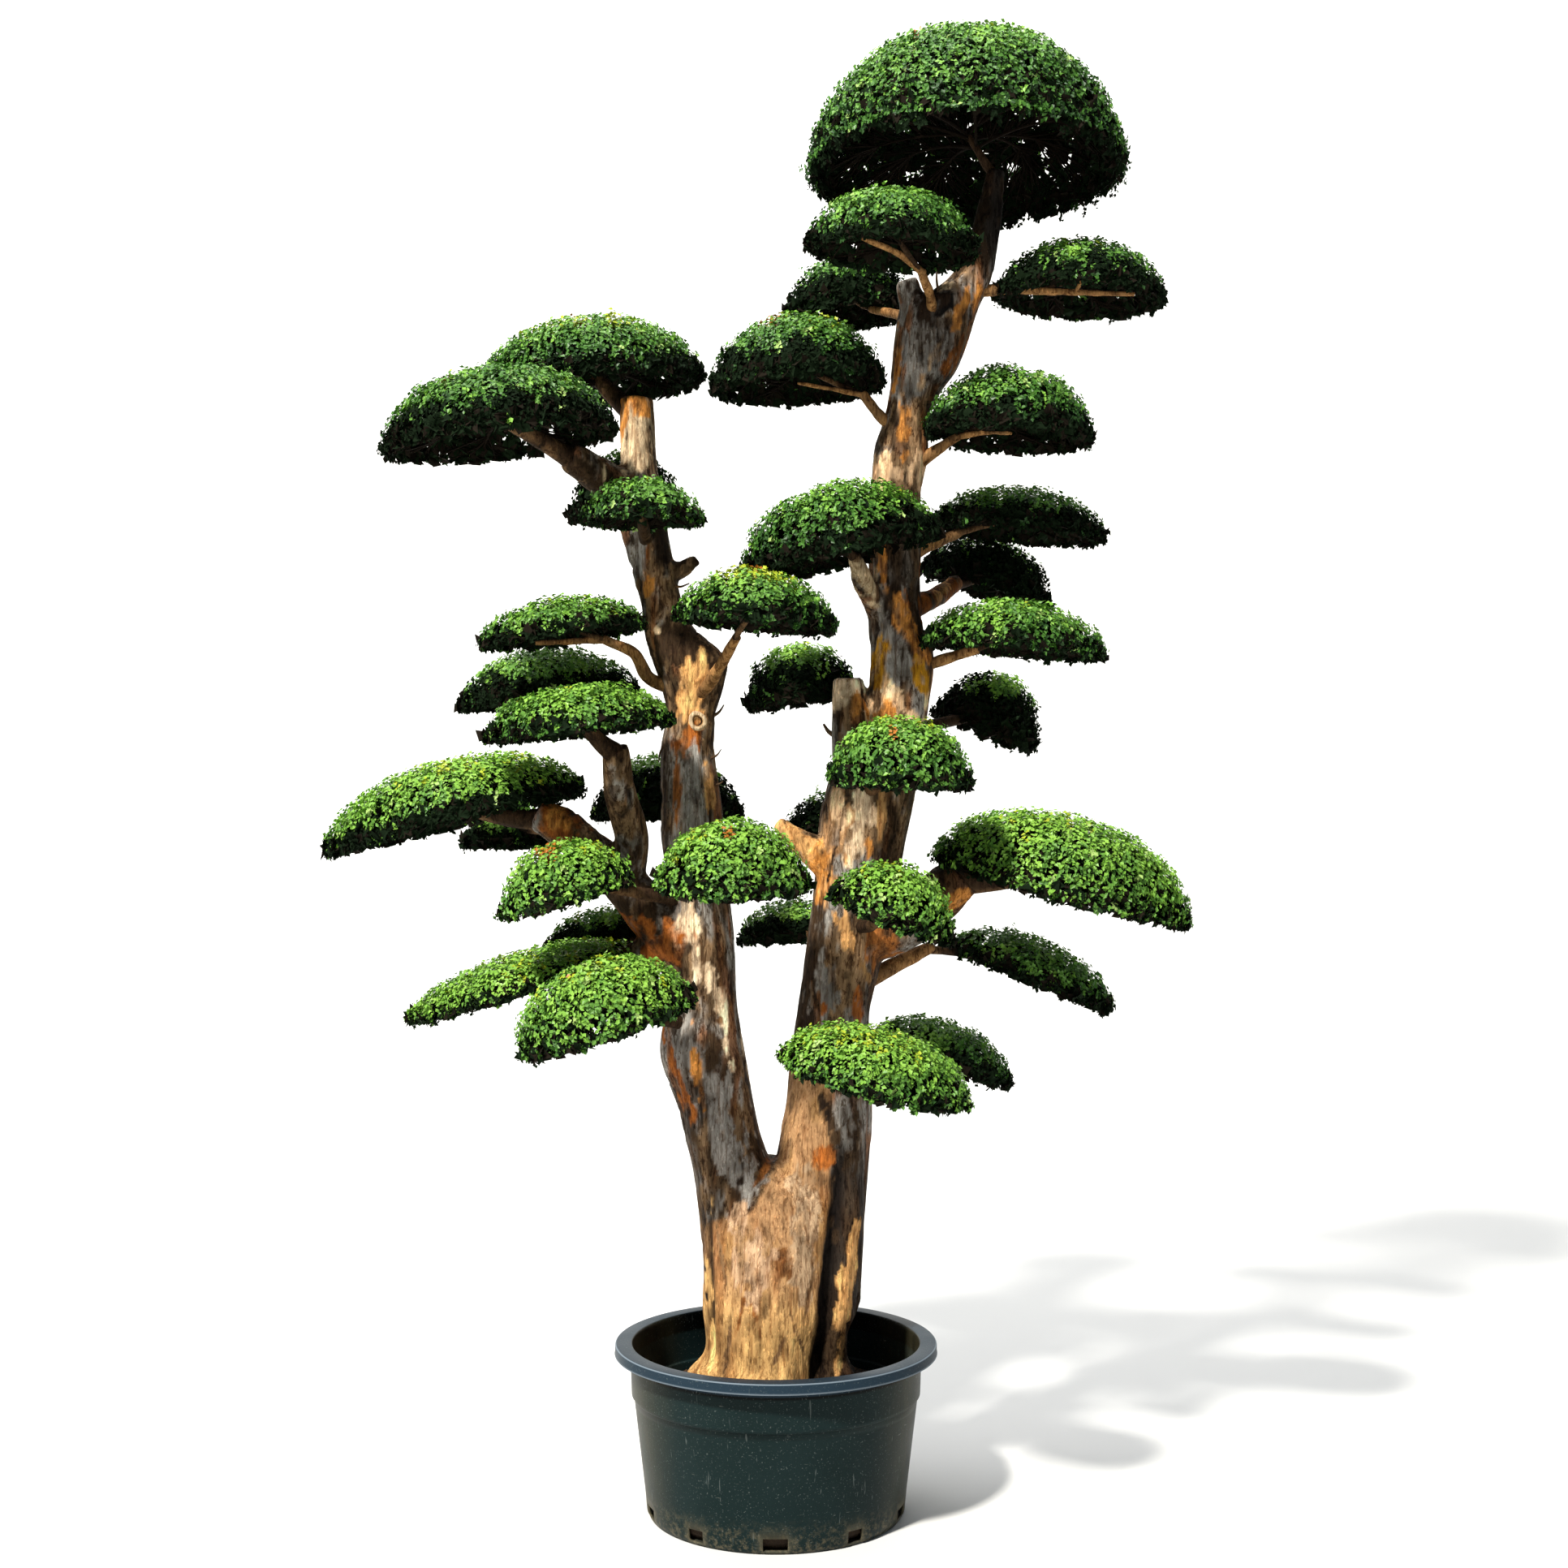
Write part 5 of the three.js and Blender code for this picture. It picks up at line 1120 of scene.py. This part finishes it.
def pad_area(size):
    """Area of the dome's outside, as half of an ellipsoid by its power-mean formula."""
    a, b, c = np.array(size) * (0.5, 0.5, 1) * MM
    powers = ((a * b) ** 1.6 + (a * c) ** 1.6 + (b * c) ** 1.6) / 3
    return 2 * np.pi * powers ** (1 / 1.6)


leaf_finishes = []
for leaf_name, leaf_colour in LEAF_COLOURS.items():
    roughness, specular = (0.85, 0.08) if "shade" in leaf_name else (0.45, 0.3)
    leaf_finishes.append(Finish(leaf_name, leaf_colour, roughness, specular))
# Painted shade: the twigs inside the pads are near black, as in the shadow of the bellies.
twig_finish = Finish("young_twigs", (0.03, 0.018, 0.01), 0.85, 0.06)
twig_finish.paint((0.003, 0.0022, 0.0015), [((0.013, 0.008, 0.005), 1, twig_finish.noise(70.0, 3.0))])

areas = np.array([pad_area(pad[2]) for pad in PADS])
spray_counts = np.round(LEAVES_IN_ALL / LEAVES_ON_SPRAY * areas / areas.sum()).astype(int)
growths = {}
for pad_index, ((name, *place, dark_skirt, deeper, yellow_top), sprays) in enumerate(zip(PADS, spray_counts)):
    growths[name] = pad_growth(name, *place, sprays, SEED + pad_index)
    growths[name]["shades"] = dark_skirt, deeper, yellow_top

stem_shells = [skins(swept(*growth["stem"], 10)) for growth in growths.values()]
# Painted shade: the pad stems are tinted near black, as in the shadow of the bellies.
piece_of_limbs("pad_stems", stem_shells, (0.04, 0.022, 0.011), 0.8 * MM)

# Each piece of leaves takes the pads of one side from its first number to its last.
LEAF_GROUPS = {
    "leaves_crown": ("right", 1, 1),
    "leaves_left_top": ("left", 1, 6),
    "leaves_left_middle": ("left", 7, 11),
    "leaves_left_low": ("left", 12, 16),
    "leaves_right_top": ("right", 2, 6),
    "leaves_right_middle": ("right", 7, 12),
    "leaves_right_low": ("right", 13, 20),
}
for group, (side, first, last) in LEAF_GROUPS.items():
    members = [f"pad_{side}_{number:02}" for number in range(first, last + 1)]
    grown = [pad_leaves(name, growths[name]) for name in members]
    corners = np.concatenate([leaves for leaves, _ in grown])
    halves = np.array([(0, 1, 2), (0, 2, 3)]) + 4 * np.arange(len(corners))[:, None, None]
    leaves = new_piece(group, corners.reshape(-1, 3), halves.reshape(-1, 3), smooth=False)
    for leaf_finish in leaf_finishes:
        leaves.data.materials.append(leaf_finish.material)
    colours = np.repeat(np.concatenate([colours for _, colours in grown]), 2)
    leaves.data.polygons.foreach_set("material_index", colours.astype(np.int32))
    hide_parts(*members)
    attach(leaves, "root")

for side in ("left", "right"):
    members = [growth for name, growth in growths.items() if name.split("_")[1] == side]
    branchlets = [skins(swept(*growth["ribs"], 5)) for growth in members]
    branchlets += [skins(swept(*growth["branchlets"], 3)) for growth in members]
    spray_twigs = [spikes(growth["bases"], growth["tips"], SPRAY_TWIG_RADIUS) for growth in members]
    for kind, shells in (("branchlets", branchlets), ("spray_twigs", spray_twigs)):
        twigs = new_piece(f"{kind}_{side}", *joined(shells))
        twigs.data.materials.append(twig_finish.material)
        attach(twigs, "root")

# The studio
# A pale seamless floor that sweeps up behind the tree, a small hard key light high in front of it like
# the sun of the photograph, and a camera level with the middle of the tree.
CAMERA_PLACE = (15 * MM, -3800 * MM, 1300 * MM)
PHOTO_SIZE = 1932
FOCAL_PIXELS = 2512
HORIZON_ROW = 1000
SENSOR = 36.0
FLOOR_HALF = 9.0
FLOOR_FRONT = -14.0
SWEEP_START = 3.5
SWEEP_RADIUS = 3.0
BACKDROP_TOP = 9.0

flat = np.linspace(FLOOR_FRONT, SWEEP_START, 8)
sweep = np.radians(np.linspace(0, 90, 16))[1:]
floor_y = np.concatenate([flat, SWEEP_START + SWEEP_RADIUS * np.sin(sweep), [SWEEP_START + SWEEP_RADIUS]])
floor_z = np.concatenate([0 * flat, SWEEP_RADIUS * (1 - np.cos(sweep)), [BACKDROP_TOP]])
edge = np.stack([0 * floor_y, floor_y, floor_z], axis=1)
floor_points = np.concatenate([edge - (FLOOR_HALF, 0, 0), edge + (FLOOR_HALF, 0, 0)])
strip = np.arange(len(edge) - 1)
floor_faces = np.stack([strip, strip + len(edge), strip + len(edge) + 1, strip + 1], axis=1)
studio_floor = new_piece("studio_floor", floor_points, floor_faces)
floor_finish = Finish("studio_paper", (0.82, 0.82, 0.81), 0.9, 0.1)
studio_floor.data.materials.append(floor_finish.material)


def area_light(name, place, aim, size, power, colour):
    """A square area light of that size in metres, turned to face its aim."""
    lamp = bpy.data.lights.new(name, "AREA")
    lamp.size = size
    lamp.energy = power
    lamp.color = colour
    light = bpy.data.objects.new(name, lamp)
    bpy.context.scene.collection.objects.link(light)
    toward = unit(np.subtract(aim, place))
    light.location = place
    light.rotation_euler = (np.arccos(-toward[2]), 0, np.arctan2(toward[1], toward[0]) - np.pi / 2)


area_light("key_light", (-4.8, -7.1, 9.8), (0, 0, 1.2), 1.0, 2700, (1.0, 0.965, 0.89))
area_light("backdrop_light", (0, 1.8, 7.2), (0, 6.0, 2.0), 5.0, 420, (1.0, 1.0, 1.0))

world = bpy.data.worlds.new("studio_air")
world.use_nodes = True
world.node_tree.nodes["Background"].inputs["Color"].default_value = (0.74, 0.87, 1.0, 1)
world.node_tree.nodes["Background"].inputs["Strength"].default_value = 0.15
bpy.context.scene.world = world
bpy.context.scene.view_settings.view_transform = "Standard"

camera = bpy.data.objects.new("camera", bpy.data.cameras.new("camera"))
bpy.context.scene.collection.objects.link(camera)
camera.location = CAMERA_PLACE
camera.rotation_euler = (np.pi / 2, 0, 0)
camera.data.sensor_width = SENSOR
camera.data.lens = SENSOR * FOCAL_PIXELS / PHOTO_SIZE
camera.data.shift_y = (HORIZON_ROW - PHOTO_SIZE / 2) / PHOTO_SIZE
camera.data.clip_end = 60
bpy.context.scene.camera = camera
